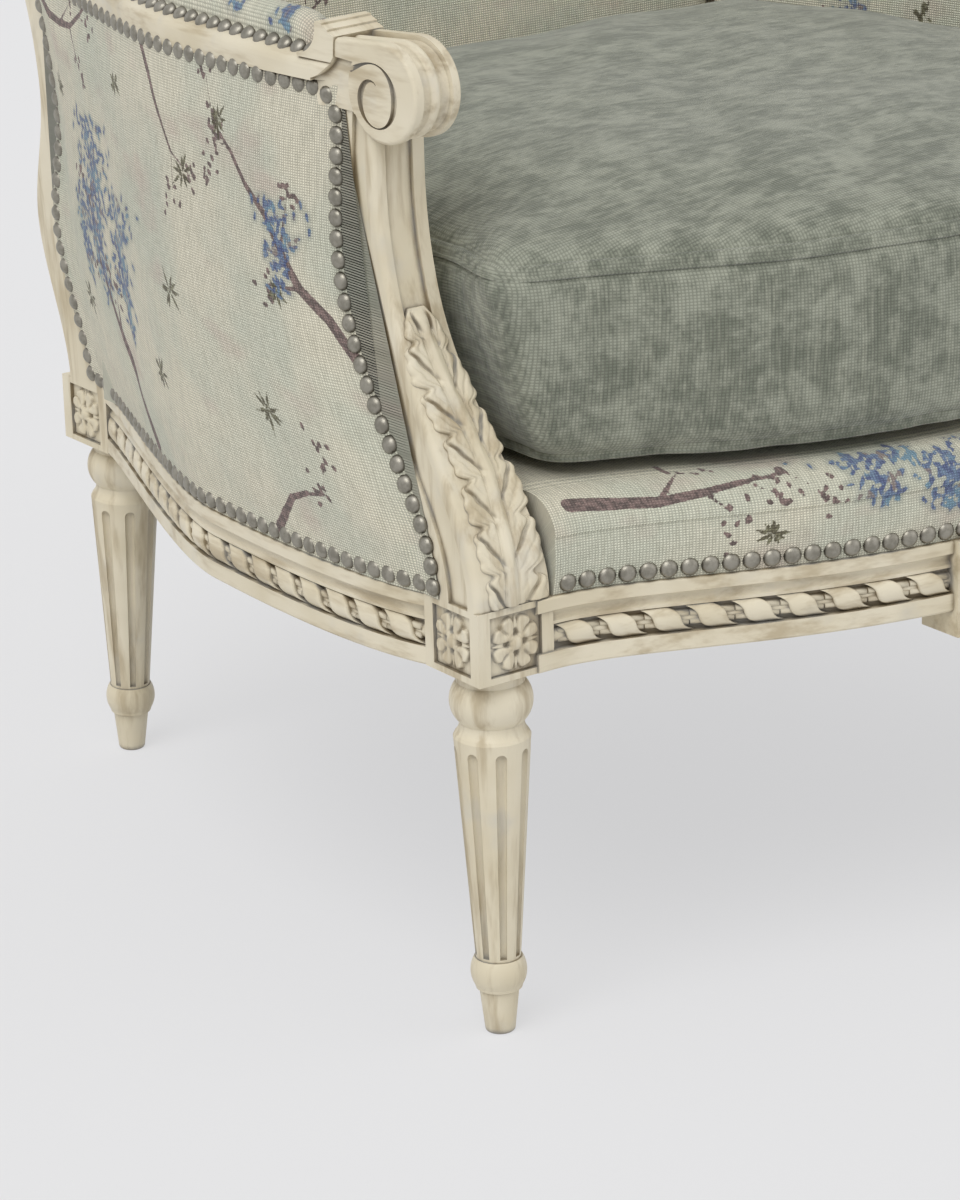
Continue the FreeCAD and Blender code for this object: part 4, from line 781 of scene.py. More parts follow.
def seat_border():
    stations = 380
    s = np.linspace(-1, 1, stations)
    reach = np.array([0.0, 0.004, 0.008] + list(np.linspace(0.011, 0.036, 17)))
    face = [(0.0022 - 0.0035 * math.sin(math.pi * r / 0.052), RAIL_TOP + r) for r in reach]
    turns = np.linspace(0, math.pi / 2, 16)
    roll = [(0.024 - 0.0245 * math.cos(a) - 0.0012 * (1 - a / 1.6), 0.3145 + 0.0215 * math.sin(a))
            for a in turns]
    section = np.array(face + roll)
    length = np.concatenate([[0], np.cumsum(np.hypot(*np.diff(section, axis=0).T))])
    flats = np.array([0.04, 0.055, 0.07, 0.10, 0.16, 0.25, 0.40])
    cols = len(section) + len(flats) + 2
    points = np.empty((stations, cols, 3))
    cloth = np.empty((stations, cols + 1, 2))
    cloth[:, :, 0] = (s * 0.30)[:, None]
    for i, share in enumerate(s):
        near = share * 0.2955
        y0 = front_y(near)
        rows = [(near, y0 + dy, z) for dy, z in section]
        for far in flats:
            y = min(y0 + far, 0.205)
            half = 0.2955 + 0.018 * smooth((y + 0.23) / 0.12)
            if y > 0.02:
                half = min(half, -wall_row(y, 0.32, 0.040))
            rows.append((share * half, y, 0.336))
        rows.append((rows[-1][0], 0.207, 0.336))
        rows.append((rows[-1][0], 0.207, 0.279))
        points[i] = rows
    cloth[:, : len(section), 1] = length
    cloth[:, len(section):-3, 1] = length[-1] + flats - flats[0] + 0.004
    cloth[:, -3:, 1] = (0.60, 0.66, 1.1)
    drawn = motifs(cloth[:, :-1], 23,
                   [((-0.285, 0.055), -0.25, 0.13, 0.005), ((-0.02, 0.004), 1.0, 0.09, 0.004),
                    ((0.21, 0.012), 2.3, 0.12, 0.0045)],
                   [((-0.10, 0.075), 0.045, 0.045), ((-0.055, 0.07), 0.05, 0.05), ((0.09, 0.07), 0.05, 0.06),
                    ((0.26, 0.075), 0.05, 0.05)],
                   [((-0.17, 0.022), 0.012), ((0.03, 0.045), 0.014), ((0.15, 0.025), 0.013)])["drawing"]
    obj = ring_mesh("seat_border", points, cloth, linen, False, drawn)
    settle(obj, "frame", "tapestry", "seat_deck", fill=0.8)


seat_border()

# %% [markdown]
# ## Padding inside the arms, on the arms and on the back
# The inside pads are stuffed thickest in the middle and pulled down to nothing at their
# nailed edges. Each is a row of closed rings: a full, rounded face towards the sitter and
# a flat one towards the frame.

# %% Inside arm pads
def arm_lining(side):
    stations, rows = 190, 70
    s = np.linspace(0, 1, stations)
    t = np.concatenate([[0, 0.004, 0.012], np.linspace(0.025, 0.975, rows - 6), [0.988, 0.996, 1]])
    low, high = 0.3025, 0.5565
    faces = np.empty((stations, rows, 3))
    for j, share in enumerate(t):
        z = low + share * (high - low)
        y0 = edge_y(POST_REAR, z) + 0.013
        y = y0 + s * (0.2245 - y0)
        edge = np.minimum.reduce([y - y0, np.full_like(y, z - low), np.full_like(y, high - z)])
        full = 0.012 + 0.013 * np.sqrt(np.clip(edge / 0.012, 0, 1)) + 0.0055 * smooth(edge / 0.08)
        faces[:, j] = np.stack([wall_row(y, z, 0.0125) + full, y, np.full_like(y, z)], 1)
    back = np.stack([faces[:, -1] * (1, 1, 1), faces[:, 0] * (1, 1, 1)], 1)
    for k, z in ((0, high), (1, low)):
        back[:, k, 0] = wall_row(back[:, k, 1], z, 0.0125)
    points = np.concatenate([faces, back], 1)
    u = (0.42 * s)[:, None] * np.ones(rows + 3)
    v = np.concatenate([0.254 * t, [0.28, 0.53, 0.56]])[None, :] * np.ones((stations, 1))
    cloth = np.stack([u, v], -1)
    drawn = motifs(cloth[:, :-1], 31 if side == "right" else 32,
                   [((0.02, 0.17), 0.25, 0.16, 0.004), ((0.40, 0.16), 2.6, 0.14, 0.004)],
                   [((0.16, 0.25), 0.09, 0.045), ((0.30, 0.23), 0.07, 0.04)],
                   [((0.08, 0.22), 0.015), ((0.24, 0.18), 0.014), ((0.36, 0.22), 0.015)])["drawing"]
    obj = ring_mesh("arm_lining_" + side, points, cloth, linen, side == "left", drawn)
    settle(obj, "frame", "tapestry", "side_pad_" + side, fill=0.8)


# %% Arm rests
def arm_rest(side):
    start, end = -0.171, 0.179
    ys = np.concatenate([start + 0.026 * (1 - np.cos(np.linspace(0.05, math.pi / 2, 14))),
                         np.linspace(start + 0.03, end - 0.03, 150),
                         end - 0.026 * (1 - np.cos(np.linspace(math.pi / 2, 0.05, 14)))])
    turns = np.linspace(0, math.pi, 26)
    points, cloth = [], []
    for y in ys:
        near = min(y - start, end - y)
        rise = math.sqrt(max(0.02, 1 - (1 - min(near / 0.026, 1)) ** 2))
        x = float(np.interp(y, ARM_CURVE[:, 1], ARM_CURVE[:, 0])) + 0.020
        ring = [(x - 0.0108 * (0.75 + 0.25 * rise) * math.cos(a) * (1 + 0.12 * math.sin(2 * a) ** 2), y,
                 ARM_TOP + 0.0002 + 0.0205 * rise * math.sin(a) ** 0.75) for a in turns]
        points.append(ring)
        cloth.append([(y, 0.0014 * k) for k in range(len(turns) + 1)])
    points, cloth = np.array(points), np.array(cloth)
    drawn = motifs(cloth[:, :-1] + (0.2, 0.0), 41 if side == "right" else 42,
                   [((0.20, 0.010), 0.1, 0.10, 0.003)],
                   [((0.06, 0.034), 0.03, 0.03), ((0.11, 0.036), 0.03, 0.035), ((0.33, 0.03), 0.03, 0.035)],
                   [((0.16, 0.022), 0.010)])["drawing"]
    obj = ring_mesh("arm_rest_" + side, points, cloth, linen, side == "left", drawn)
    settle(obj, "frame", "tapestry", "arm_pad_" + side, fill=0.9)


for side in ("right", "left"):
    arm_lining(side)
    arm_rest(side)


# %% Inside and outside of the back
def back_half_width(z):
    side = cubic([(-0.2397, 0.278), (-0.2437, 0.408), (-0.2657, 0.560), (-0.2667, 0.900)],
                 np.linspace(0, 1, 80))
    return np.interp(z, side[:, 1], -side[:, 0])


def back_top(x):
    corner = cubic([(-0.2667, 0.900), (-0.2667, 0.9134), (-0.2607, 0.914), (-0.2287, 0.914)],
                   np.linspace(0, 1, 30))
    arch = cubic([(-0.2287, 0.914), (-0.13335, 0.914), (-0.1026, 0.962), (0, 0.962)], np.linspace(0, 1, 60))
    edge = chain(corner, arch[1:])
    return np.interp(-np.abs(x), edge[:, 0], edge[:, 1])


def back_grid(stations, rows, low):
    """Grid over the back's opening: x, z and the distance to its edge."""
    s = np.concatenate([[-1, -0.996], np.linspace(-0.988, 0.988, stations - 4), [0.996, 1]])
    t = np.concatenate([[0, 0.003], np.linspace(0.008, 0.992, rows - 4), [0.997, 1]])
    top = back_top(s * 0.2660)
    z = low + t[None, :] * (top - low)[:, None]
    x = s[:, None] * back_half_width(z)
    edge = np.minimum.reduce([back_half_width(z) - np.abs(x), z - low, top[:, None] - z])
    return x, z, edge


def back_cushioning():
    low = 0.3025
    x, z, edge = back_grid(230, 250, low)
    x = x * 0.9985
    front = chain(cubic([(0.2134, 0.302), (0.2074, 0.378), (0.2094, 0.458), (0.2174, 0.518)], T),
                  cubic([(0.2174, 0.518), (0.2274, 0.598), (0.285, 0.800), (0.340, 1.0)], T)[1:])
    rear = chain([(0.2400, 0.302), (0.2410, 0.488), (0.2424, 0.530)],
                 [(REAR_LEG_Y - 0.006 + LEAN * (h - BACK_START), h) for h in (BACK_START, 0.75, 1.0)])
    face = np.interp(z, front[:, 1], front[:, 0])
    wood = np.interp(z, rear[:, 1], rear[:, 0])
    depth = np.sqrt(np.clip(edge / 0.022, 0, 1) * (2 - np.clip(edge / 0.022, 0, 1)))
    swell = 0.82 + 0.18 * smooth(edge / 0.12)
    y = wood - 0.0005 - (wood - face - 0.0005) * depth * swell
    faces = np.stack([x, y, z], -1)
    back = np.stack([faces[:, -1], faces[:, 0]], 1)
    points = np.concatenate([faces, back + (0, 0.0003, 0)], 1)
    cloth = np.stack([np.concatenate([x, x[:, -1:], x[:, :1], x[:, :1]], 1),
                      np.concatenate([z, z[:, -1:] + 0.01, z[:, :1] - 0.02, z[:, :1]], 1)], -1)
    drawn = motifs(cloth[:, :-1], 51,
                   [((-0.24, 0.60), 0.9, 0.26, 0.007), ((0.25, 0.52), 2.2, 0.24, 0.006),
                    ((-0.10, 0.80), 0.5, 0.16, 0.004), ((0.20, 0.93), -2.2, 0.14, 0.004),
                    ((-0.20, 0.48), 0.2, 0.12, 0.004)],
                   [((-0.13, 0.74), 0.13, 0.07), ((-0.06, 0.69), 0.10, 0.06), ((0.12, 0.82), 0.12, 0.07),
                    ((0.19, 0.62), 0.08, 0.05), ((0.03, 0.60), 0.08, 0.05)],
                   [((-0.19, 0.86), 0.022), ((0.02, 0.88), 0.02), ((0.09, 0.66), 0.02), ((-0.02, 0.55), 0.02),
                    ((0.22, 0.74), 0.018), ((-0.21, 0.56), 0.02), ((0.14, 0.53), 0.018)])["drawing"]
    obj = ring_mesh("back_cushioning", points, cloth, linen, False, drawn)
    settle(obj, "frame", "tapestry", "back_pad", fill=0.85)


def back_cloth():
    low = RAIL_TOP + 0.0005
    x, z, edge = back_grid(190, 230, low)
    x = x * 0.998
    swell = 0.0022 * smooth(edge / 0.05)
    y = edge_y(STILE_REAR, z) - 0.0030 + swell
    faces = np.stack([x, y, z], -1)
    inner = np.stack([faces[:, -1], faces[:, 0]], 1) - (0, 0.004, 0)
    points = np.concatenate([faces, inner], 1)
    cloth = np.stack([np.concatenate([-x, -x[:, -1:], -x[:, :1], -x[:, :1]], 1),
                      np.concatenate([z, z[:, -1:] + 0.004, z[:, :1] - 0.01, z[:, :1]], 1)], -1)
    drawn = motifs(cloth[:, :-1], 61,
                   [((-0.22, 0.33), 1.1, 0.28, 0.007), ((0.24, 0.44), 2.0, 0.26, 0.006),
                    ((0.05, 0.72), 1.4, 0.15, 0.004), ((-0.20, 0.92), -0.6, 0.16, 0.004)],
                   [((-0.12, 0.62), 0.12, 0.07), ((0.10, 0.72), 0.12, 0.06), ((0.18, 0.58), 0.10, 0.06),
                    ((-0.03, 0.48), 0.10, 0.06)],
                   [((-0.15, 0.78), 0.022), ((0.03, 0.86), 0.02), ((0.19, 0.84), 0.02), ((0.02, 0.36), 0.02),
                    ((-0.20, 0.50), 0.018), ((0.13, 0.36), 0.018), ((-0.05, 0.66), 0.018)])["drawing"]
    obj = ring_mesh("back_cloth", points, cloth, linen, False, drawn)
    settle(obj, "frame", "tapestry", "back_panel", fill=0.9)


back_cushioning()
back_cloth()
print("padding made")

# %% [markdown]
# ## One thing repeated along a path
# Nails and carved ribbon are each one small shape repeated at an even pitch. A node tree
# turns a chain of points into a curve, stands a copy of the shape on it at every step,
# with its foot on the surface and its length along the path, and gives it its finish.

# %% The path tree
def path_tree():
    tree = bpy.data.node_groups.new("along_path", "GeometryNodeTree")
    sockets = {}
    for name, kind in (("Path", "Geometry"), ("Spacing", "Float"), ("Piece", "Object"),
                       ("Finish", "Material")):
        socket = tree.interface.new_socket(name, in_out="INPUT", socket_type="NodeSocket" + kind)
        sockets[name] = socket.identifier
    tree.interface.new_socket("Result", in_out="OUTPUT", socket_type="NodeSocketGeometry")
    nodes_in = tree.nodes
    given, result = nodes_in.new("NodeGroupInput"), nodes_in.new("NodeGroupOutput")
    curve = nodes_in.new("GeometryNodeMeshToCurve")
    points = nodes_in.new("GeometryNodeCurveToPoints")
    points.mode = "LENGTH"
    out = nodes_in.new("GeometryNodeInputNamedAttribute")
    out.data_type = "FLOAT_VECTOR"
    out.inputs["Name"].default_value = "out"
    lay = nodes_in.new("FunctionNodeAlignRotationToVector")
    stand = nodes_in.new("FunctionNodeAlignRotationToVector")
    lay.axis, stand.axis, stand.pivot_axis = "X", "Z", "X"
    piece = nodes_in.new("GeometryNodeObjectInfo")
    copies = nodes_in.new("GeometryNodeInstanceOnPoints")
    real = nodes_in.new("GeometryNodeRealizeInstances")
    finish = nodes_in.new("GeometryNodeSetMaterial")
    for source, target in (
            (given.outputs["Path"], curve.inputs[0]),
            (curve.outputs[0], points.inputs["Curve"]),
            (given.outputs["Spacing"], points.inputs["Length"]),
            (points.outputs["Tangent"], lay.inputs["Vector"]),
            (lay.outputs[0], stand.inputs["Rotation"]),
            (out.outputs["Attribute"], stand.inputs["Vector"]),
            (given.outputs["Piece"], piece.inputs["Object"]),
            (points.outputs["Points"], copies.inputs["Points"]),
            (piece.outputs["Geometry"], copies.inputs["Instance"]),
            (stand.outputs[0], copies.inputs["Rotation"]),
            (copies.outputs[0], real.inputs[0]),
            (real.outputs[0], finish.inputs["Geometry"]),
            (given.outputs["Finish"], finish.inputs["Material"]),
            (finish.outputs[0], result.inputs[0])):
        tree.links.new(source, target)
    return tree, sockets


repeat_tree, repeat_sockets = path_tree()


def repeated(name, paths, pitch, piece, material):
    """Copies of a piece at an even pitch; paths are (points, outward directions, closed)."""
    verts, outs, edges = [], [], []
    for points, out, closed in paths:
        start, count = len(verts), len(points)
        verts += [tuple(p) for p in points]
        outs += [tuple(o) for o in out]
        edges += [(start + i, start + i + 1) for i in range(count - 1)]
        if closed:
            edges.append((start + count - 1, start))
    mesh = bpy.data.meshes.new(name)
    mesh.from_pydata(verts, edges, [])
    layer = mesh.attributes.new("out", "FLOAT_VECTOR", "POINT")
    layer.data.foreach_set("vector", np.array(outs).ravel())
    holder = plain_object(name + "_path", mesh)
    modifier = holder.modifiers.new("along", "NODES")
    modifier.node_group = repeat_tree
    modifier[repeat_sockets["Spacing"]] = pitch
    modifier[repeat_sockets["Piece"]] = piece
    modifier[repeat_sockets["Finish"]] = material
    bpy.context.view_layer.update()
    done = holder.evaluated_get(bpy.context.evaluated_depsgraph_get())
    result = plain_object(name, bpy.data.meshes.new_from_object(done))
    result.data.name = name
    bpy.data.objects.remove(holder)
    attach(result, "frame")
    print(name, len(result.data.polygons), "faces")
    return result


def both_sides(points, outs, closed=False):
    """The same path on the right and on the left of the chair."""
    points, outs = np.asarray(points, float), np.asarray(outs, float)
    turned = (-1, 1, 1)
    return [(points, outs, closed), ((points * turned)[::-1], (outs * turned)[::-1], closed)]


def rings(name, pieces, material, scale=0.001):
    """Several closed pieces, each a stack of rings, as one object."""
    verts, faces = [], []
    for points in pieces:
        points = np.asarray(points, float)
        rows, cols = points.shape[:2]
        index = np.arange(rows * cols).reshape(rows, cols) + len(verts)
        after = np.roll(index, -1, axis=1)
        verts += (points.reshape(-1, 3) * scale).tolist()
        faces += np.stack([index[:-1], after[:-1], after[1:], index[1:]], -1).reshape(-1, 4).tolist()
        faces += [index[0, ::-1].tolist(), index[-1].tolist()]
    mesh = bpy.data.meshes.new(name)
    mesh.from_pydata(verts, [], faces)
    mesh.polygons.foreach_set("use_smooth", np.ones(len(mesh.polygons), bool))
    outward(mesh)
    mesh.materials.append(material)
    return plain_object(name, mesh)


# %% [markdown]
# ## Pewter nails
# The covering is nailed with close rows of domed heads, about twelve millimetres across,
# in an aged pewter finish: grey, slightly warm, bright on top where the light catches it,
# with painted shade near black at the foot of each dome and between heads.

# %% Nails
def pewter():
    g = Graph("pewter")
    patch = g.noise(0.006, 3.0, 0.6)
    colour = g.mix(g.between(patch, 0.35, 0.65), (0.25, 0.235, 0.195), (0.36, 0.34, 0.29))
    # Painted shade: where little sky is seen within 4 mm, at the foot of each dome and between heads, the
    # metal is painted near black.
    colour = g.mix(g.math("MULTIPLY", g.hollow(0.004), 1.1, clamp=True), colour, (0.07, 0.06, 0.05))
    g.put(g.shader.inputs["Metallic"], 0.9)
    return g.finish(colour, g.between(patch, 0.3, 0.7, 0.34, 0.46), g.bump(patch, 0.0003, 0.3))


metal = pewter()
NAIL_RADIUS = 5.9
NAIL_PITCH = 0.0126
profile = [(NAIL_RADIUS, -1.2), (NAIL_RADIUS, 0.3), (0.94 * NAIL_RADIUS, 1.6), (0.76 * NAIL_RADIUS, 2.9),
           (0.48 * NAIL_RADIUS, 3.8), (0.16 * NAIL_RADIUS, 4.2)]
ring_angles = np.linspace(0, 2 * math.pi, 13)[:-1]
dome = [[(r * math.cos(a), r * math.sin(a), z) for a in ring_angles] for r, z in profile]
nail = rings("nail", [dome], metal)


def nail_row(name, paths):
    """Rows of nails in the pewter finish; nails are metal, so they take no fitting slot."""
    return repeated(name, paths, NAIL_PITCH, nail, metal)




def side_loop():
    """Path of the nails round one outside panel, with the direction each one faces."""
    low, high = 0.2848, 0.5665
    ys = np.linspace(edge_y(POST_REAR, low) + 0.004, edge_y(STILE_REAR, low) - 0.030, 90)
    path = [(y, low) for y in ys]
    path += [(edge_y(STILE_REAR, z) - 0.030, z) for z in np.linspace(low, high, 60)[1:]]
    path += [(y, high) for y in np.linspace(path[-1][0], -0.172, 90)[1:]]
    bend = cubic([(-0.172, high), (-0.188, high - 0.0005), (-0.1925, 0.560), (-0.1925, 0.545)],
                 np.linspace(0, 1, 12))
    path += [tuple(p) for p in bend[1:]]
    path += [(edge_y(POST_REAR, z) + 0.0035, z) for z in np.linspace(0.538, low + 0.006, 70)]
    points, outs = [], []
    for y, z in path:
        x = float(side_skin([y], z)[0])
        slope = float(side_skin([y + 0.004], z)[0] - side_skin([y - 0.004], z)[0]) / 0.008
        rise = float(side_skin([y], z + 0.004)[0] - side_skin([y], z - 0.004)[0]) / 0.008
        points.append((x + 0.0002, y, z))
        outs.append((-1.0, slope, rise))
    return points, outs


side_points, side_outs = side_loop()
nail_row("side_nails", both_sides(side_points, side_outs, True))
xs = np.linspace(-0.286, 0.286, 160)
slope = np.gradient(front_y(xs), xs)
border = np.stack([xs, front_y(xs) + 0.0016, np.full_like(xs, 0.2848)], 1)
nail_row("front_nails", [(border, np.stack([slope, -np.ones_like(xs), 0 * xs], 1), False)])
ys = np.linspace(-0.170, 0.174, 90)
arm_x = np.interp(ys, ARM_CURVE[:, 1], ARM_CURVE[:, 0])
rows = []
for across_arm, lean_out in ((0.0085, -0.62), (0.0315, 0.62)):
    line = np.stack([arm_x + across_arm, ys, np.full_like(ys, ARM_TOP + 0.0004)], 1)
    rows += both_sides(line, np.stack([np.full_like(ys, lean_out), 0 * ys, np.full_like(ys, 0.8)], 1))
nail_row("arm_nails", rows)
ys = np.linspace(-0.172, 0.214, 90)
lining = np.stack([wall_row(ys, 0.5525, 0.0125) + 0.0245, ys, np.full_like(ys, 0.5525)], 1)
nail_row("lining_nails", both_sides(lining, np.tile((0.9, 0.0, 0.4), (90, 1))))


def back_loop(low, inset):
    """Path round the back's opening, as x and z."""
    side_z = np.linspace(low, 0.895, 110)
    left = [(-back_half_width(z) + inset, z) for z in side_z]
    top_x = np.linspace(-0.2667 + inset + 0.004, 0, 60)
    left += [(x, back_top(x) - inset) for x in top_x]
    left = np.array(left)
    right = (left * (-1, 1))[::-1][1:]
    return np.vstack([left, right])


loop = back_loop(RAIL_TOP + 0.0068, 0.006)
rear = np.stack([loop[:, 0], edge_y(STILE_REAR, loop[:, 1]) - 0.0032, loop[:, 1]], 1)
nail_row("rear_nails", [(rear, np.tile((0.0, 1.0, -0.3), (len(rear), 1)), True)])
loop = back_loop(0.3085, 0.0055)
rear_face = edge_y(STILE_REAR, loop[:, 1]) - 0.028
inner_face = np.where(loop[:, 1] < 0.52, 0.2395, rear_face)
front = np.stack([loop[:, 0], inner_face - 0.0085, loop[:, 1]], 1)
nail_row("back_nails", [(front, np.tile((0.0, -1.0, 0.1), (len(front), 1)), False)])
bpy.data.objects.remove(nail)

# %% [markdown]
# ## Carved ribbon
# A ribbon wound round two sticks is cut into the channel of each rail. One turn of the
# ribbon and the length of stick beside it make the unit; the path carries it along.

# %% Ribbon and sticks
turns = np.radians(np.linspace(-88, 88, 15))
columns = np.array([-8.6, -8.3, -6.6, -3.3, 0.0, 3.3, 6.6, 8.3, 8.6])
lift = np.array([-1.6, -0.2, 0.15, -0.05, -0.2, -0.05, 0.15, -0.2, -1.6])
winding = []
for a in turns:
    shift = -8.5 * math.sin(a) ** 3 - 2.0 * math.sin(a)
    ring = [(shift + c, 8.3 * math.sin(a), max(6.6 * math.cos(a) + up * (0.4 + 0.6 * math.cos(a)), -0.4))
            for c, up in zip(columns, lift)]
    winding.append(ring + [(shift + 8.6, 8.3 * math.sin(a), -0.8), (shift - 8.6, 8.3 * math.sin(a), -0.8)])
sticks = []
for height in (-2.6, 2.6):
    sticks.append([[(x, height + 2.3 * math.cos(a), 1.4 + 2.5 * math.sin(a))
                    for a in np.linspace(0, 2 * math.pi, 11)[:-1]] for x in (-13.5, 13.5)])
unit = rings("ribbon_unit", [winding] + sticks, paint_length)
BAND_Z = 0.2523
RIBBON_TURN = 0.0262
CHANNEL_DEPTH = 0.0058
BACK_TURNS = 15
side_path = RAIL_CURVE[::-1]
side_path = side_path[(side_path[:, 1] > -0.243) & (side_path[:, 1] < 0.213)]
tangent = np.gradient(side_path, axis=0)
side_out = np.stack([tangent[:, 1], -tangent[:, 0], 0 * tangent[:, 0]], 1)
side_out /= np.linalg.norm(side_out, axis=1)[:, None]
side_line = np.column_stack([side_path, np.full(len(side_path), BAND_Z)]) - CHANNEL_DEPTH * side_out
length = np.hypot(*np.diff(side_path, axis=0).T).sum()
pitch = length / round(length / RIBBON_TURN)
mirror_points = (side_line * (-1, 1, 1))[::-1]
mirror_out = (side_out * (-1, 1, 1))[::-1]
repeated("side_ribbon", [(side_line, side_out, False), (mirror_points, mirror_out, False)], pitch, unit,
         paint_length)
t = np.linspace(0, 1, 80)
bow = cubic(FRONT_POLES, t)
bow = bow[(bow[:, 0] > -0.280) & (bow[:, 0] < -0.066)]
tangent = np.gradient(bow, axis=0)
bow_out = np.stack([tangent[:, 1], -tangent[:, 0], 0 * tangent[:, 0]], 1)
bow_out /= np.linalg.norm(bow_out, axis=1)[:, None]
bow_line = np.column_stack([bow, np.full(len(bow), BAND_Z)]) - CHANNEL_DEPTH * bow_out
length = np.hypot(*np.diff(bow, axis=0).T).sum()
pitch = length / round(length / RIBBON_TURN)
repeated("front_ribbon", [(bow_line, bow_out, False),
                          ((bow_line * (-1, 1, 1))[::-1], (bow_out * (-1, 1, 1))[::-1], False)], pitch, unit,
         paint_across)
back_line = [(x, 0.2831 - CHANNEL_DEPTH, BAND_Z) for x in (0.2015, 0.0, -0.2015)]
repeated("back_ribbon", [(back_line, [(0, 1, 0)] * 3, False)], 0.403 / BACK_TURNS, unit,
         paint_across)
bpy.data.objects.remove(unit)


# %% [markdown]
# ## Rosettes
# Each square block carries a four petalled flower in a sunk field. The carving is a
# shallow relief, so a fine grid whose heights come from a few formulas describes it.

# %% Rosettes on the blocks
def rosette_height(u, v, size):
    """Relief of the flower in millimetres; u and v run from the middle of the field."""
    u, v = u * 18.5 / size, v * 18.5 / size
    r = np.hypot(u, v)
    angle = np.arctan2(v, u)
    petal = np.mod(angle, math.pi / 2) - math.pi / 4
    width = np.radians(39) * np.clip(1 - ((r - 11.5) / 9.5) ** 2, 0, 1) ** 0.5
    notch = 17.2 - 2.6 * np.exp(-((petal * r / 1.9) ** 2))
    inside = np.clip(1 - (petal / np.maximum(width, 1e-4)) ** 2, 0, 1) * smooth((notch - r) / 1.6)
    petals = 3.4 * inside**0.35 * (1 - 0.45 * np.exp(-((r - 11) / 4) ** 2) * inside**2)
    petals -= 1.3 * np.exp(-((petal * r / 0.9) ** 2)) * smooth((r - 6) / 3) * (inside > 0)
    leaf = np.mod(angle + math.pi / 4, math.pi / 2) - math.pi / 4
    blade = np.clip(1 - np.abs(leaf * r) / (2.4 * np.clip((17.5 - r) / 8, 0, 1) + 1e-4), 0, 1)
    leaves = 2.0 * blade**0.5 * smooth((r - 7) / 3) - 0.5 * np.exp(-((leaf * r / 0.4) ** 2)) * (blade > 0)
    dome = 4.4 * np.sqrt(np.clip(1 - (r / 5.2) ** 2, 0, 1))
    ring = -0.6 * np.exp(-(((r - 5.9) / 0.7) ** 2))
    rise = np.maximum(np.maximum(petals, leaves), dome) + ring + 0.4
    return np.maximum(rise, 0.1) * smooth((18.45 - np.maximum(np.abs(u), np.abs(v))) / 0.5)


def carved(mesh, material):
    """A piece of carving on the frame from its closed mesh."""
    outward(mesh)
    mesh.polygons.foreach_set("use_smooth", np.ones(len(mesh.polygons), bool))
    mesh.materials.clear()
    mesh.materials.append(material)
    obj = plain_object(mesh.name, mesh)
    settle(obj, "frame", "painted_wood")


def rosette(name, centre, along_u, out, material, size=18.5):
    steps = 74
    u, v = np.meshgrid(np.linspace(-size, size, steps), np.linspace(-size, size, steps), indexing="ij")
    h = rosette_height(u, v, size)
    along_u, out = np.array(along_u, float), np.array(out, float)
    up_v = np.cross(out, along_u)
    points = np.array(centre) + 0.001 * (u[..., None] * along_u + v[..., None] * up_v + h[..., None] * out)
    carved(grid_mesh(name, points, np.stack([u, v], -1) * 0.001, inward=tuple(-0.0008 * out)), material)


BLOCK_Z = 0.2555
for sign, side in ((1, "right"), (-1, "left")):
    rosette("rosette_front_" + side, (-FRONT_LEG_X * sign, -0.3094, BLOCK_Z), (1, 0, 0),
            (0, -1, 0), paint_upright)
    rosette("rosette_side_" + side, (-0.3474 * sign, FRONT_LEG_Y, BLOCK_Z), (0, -sign, 0), (-sign, 0, 0),
            paint_upright)
    rosette("rosette_rear_" + side, (-REAR_LEG_X * sign, 0.2805, BLOCK_Z), (-1, 0, 0),
            (0, 1, 0), paint_upright)
    rosette("rosette_outer_" + side, (-0.2741 * sign, REAR_LEG_Y, BLOCK_Z), (0, -sign, 0), (-sign, 0, 0),
            paint_upright)


# %% [markdown]
# ## Leaf on the arm post
# A long acanthus leaf climbs the front of each post from the block. Its lobes fan out
# from a raised rib; each lobe is cupped, has three scallops and is parted from the next
# by a deep eye.

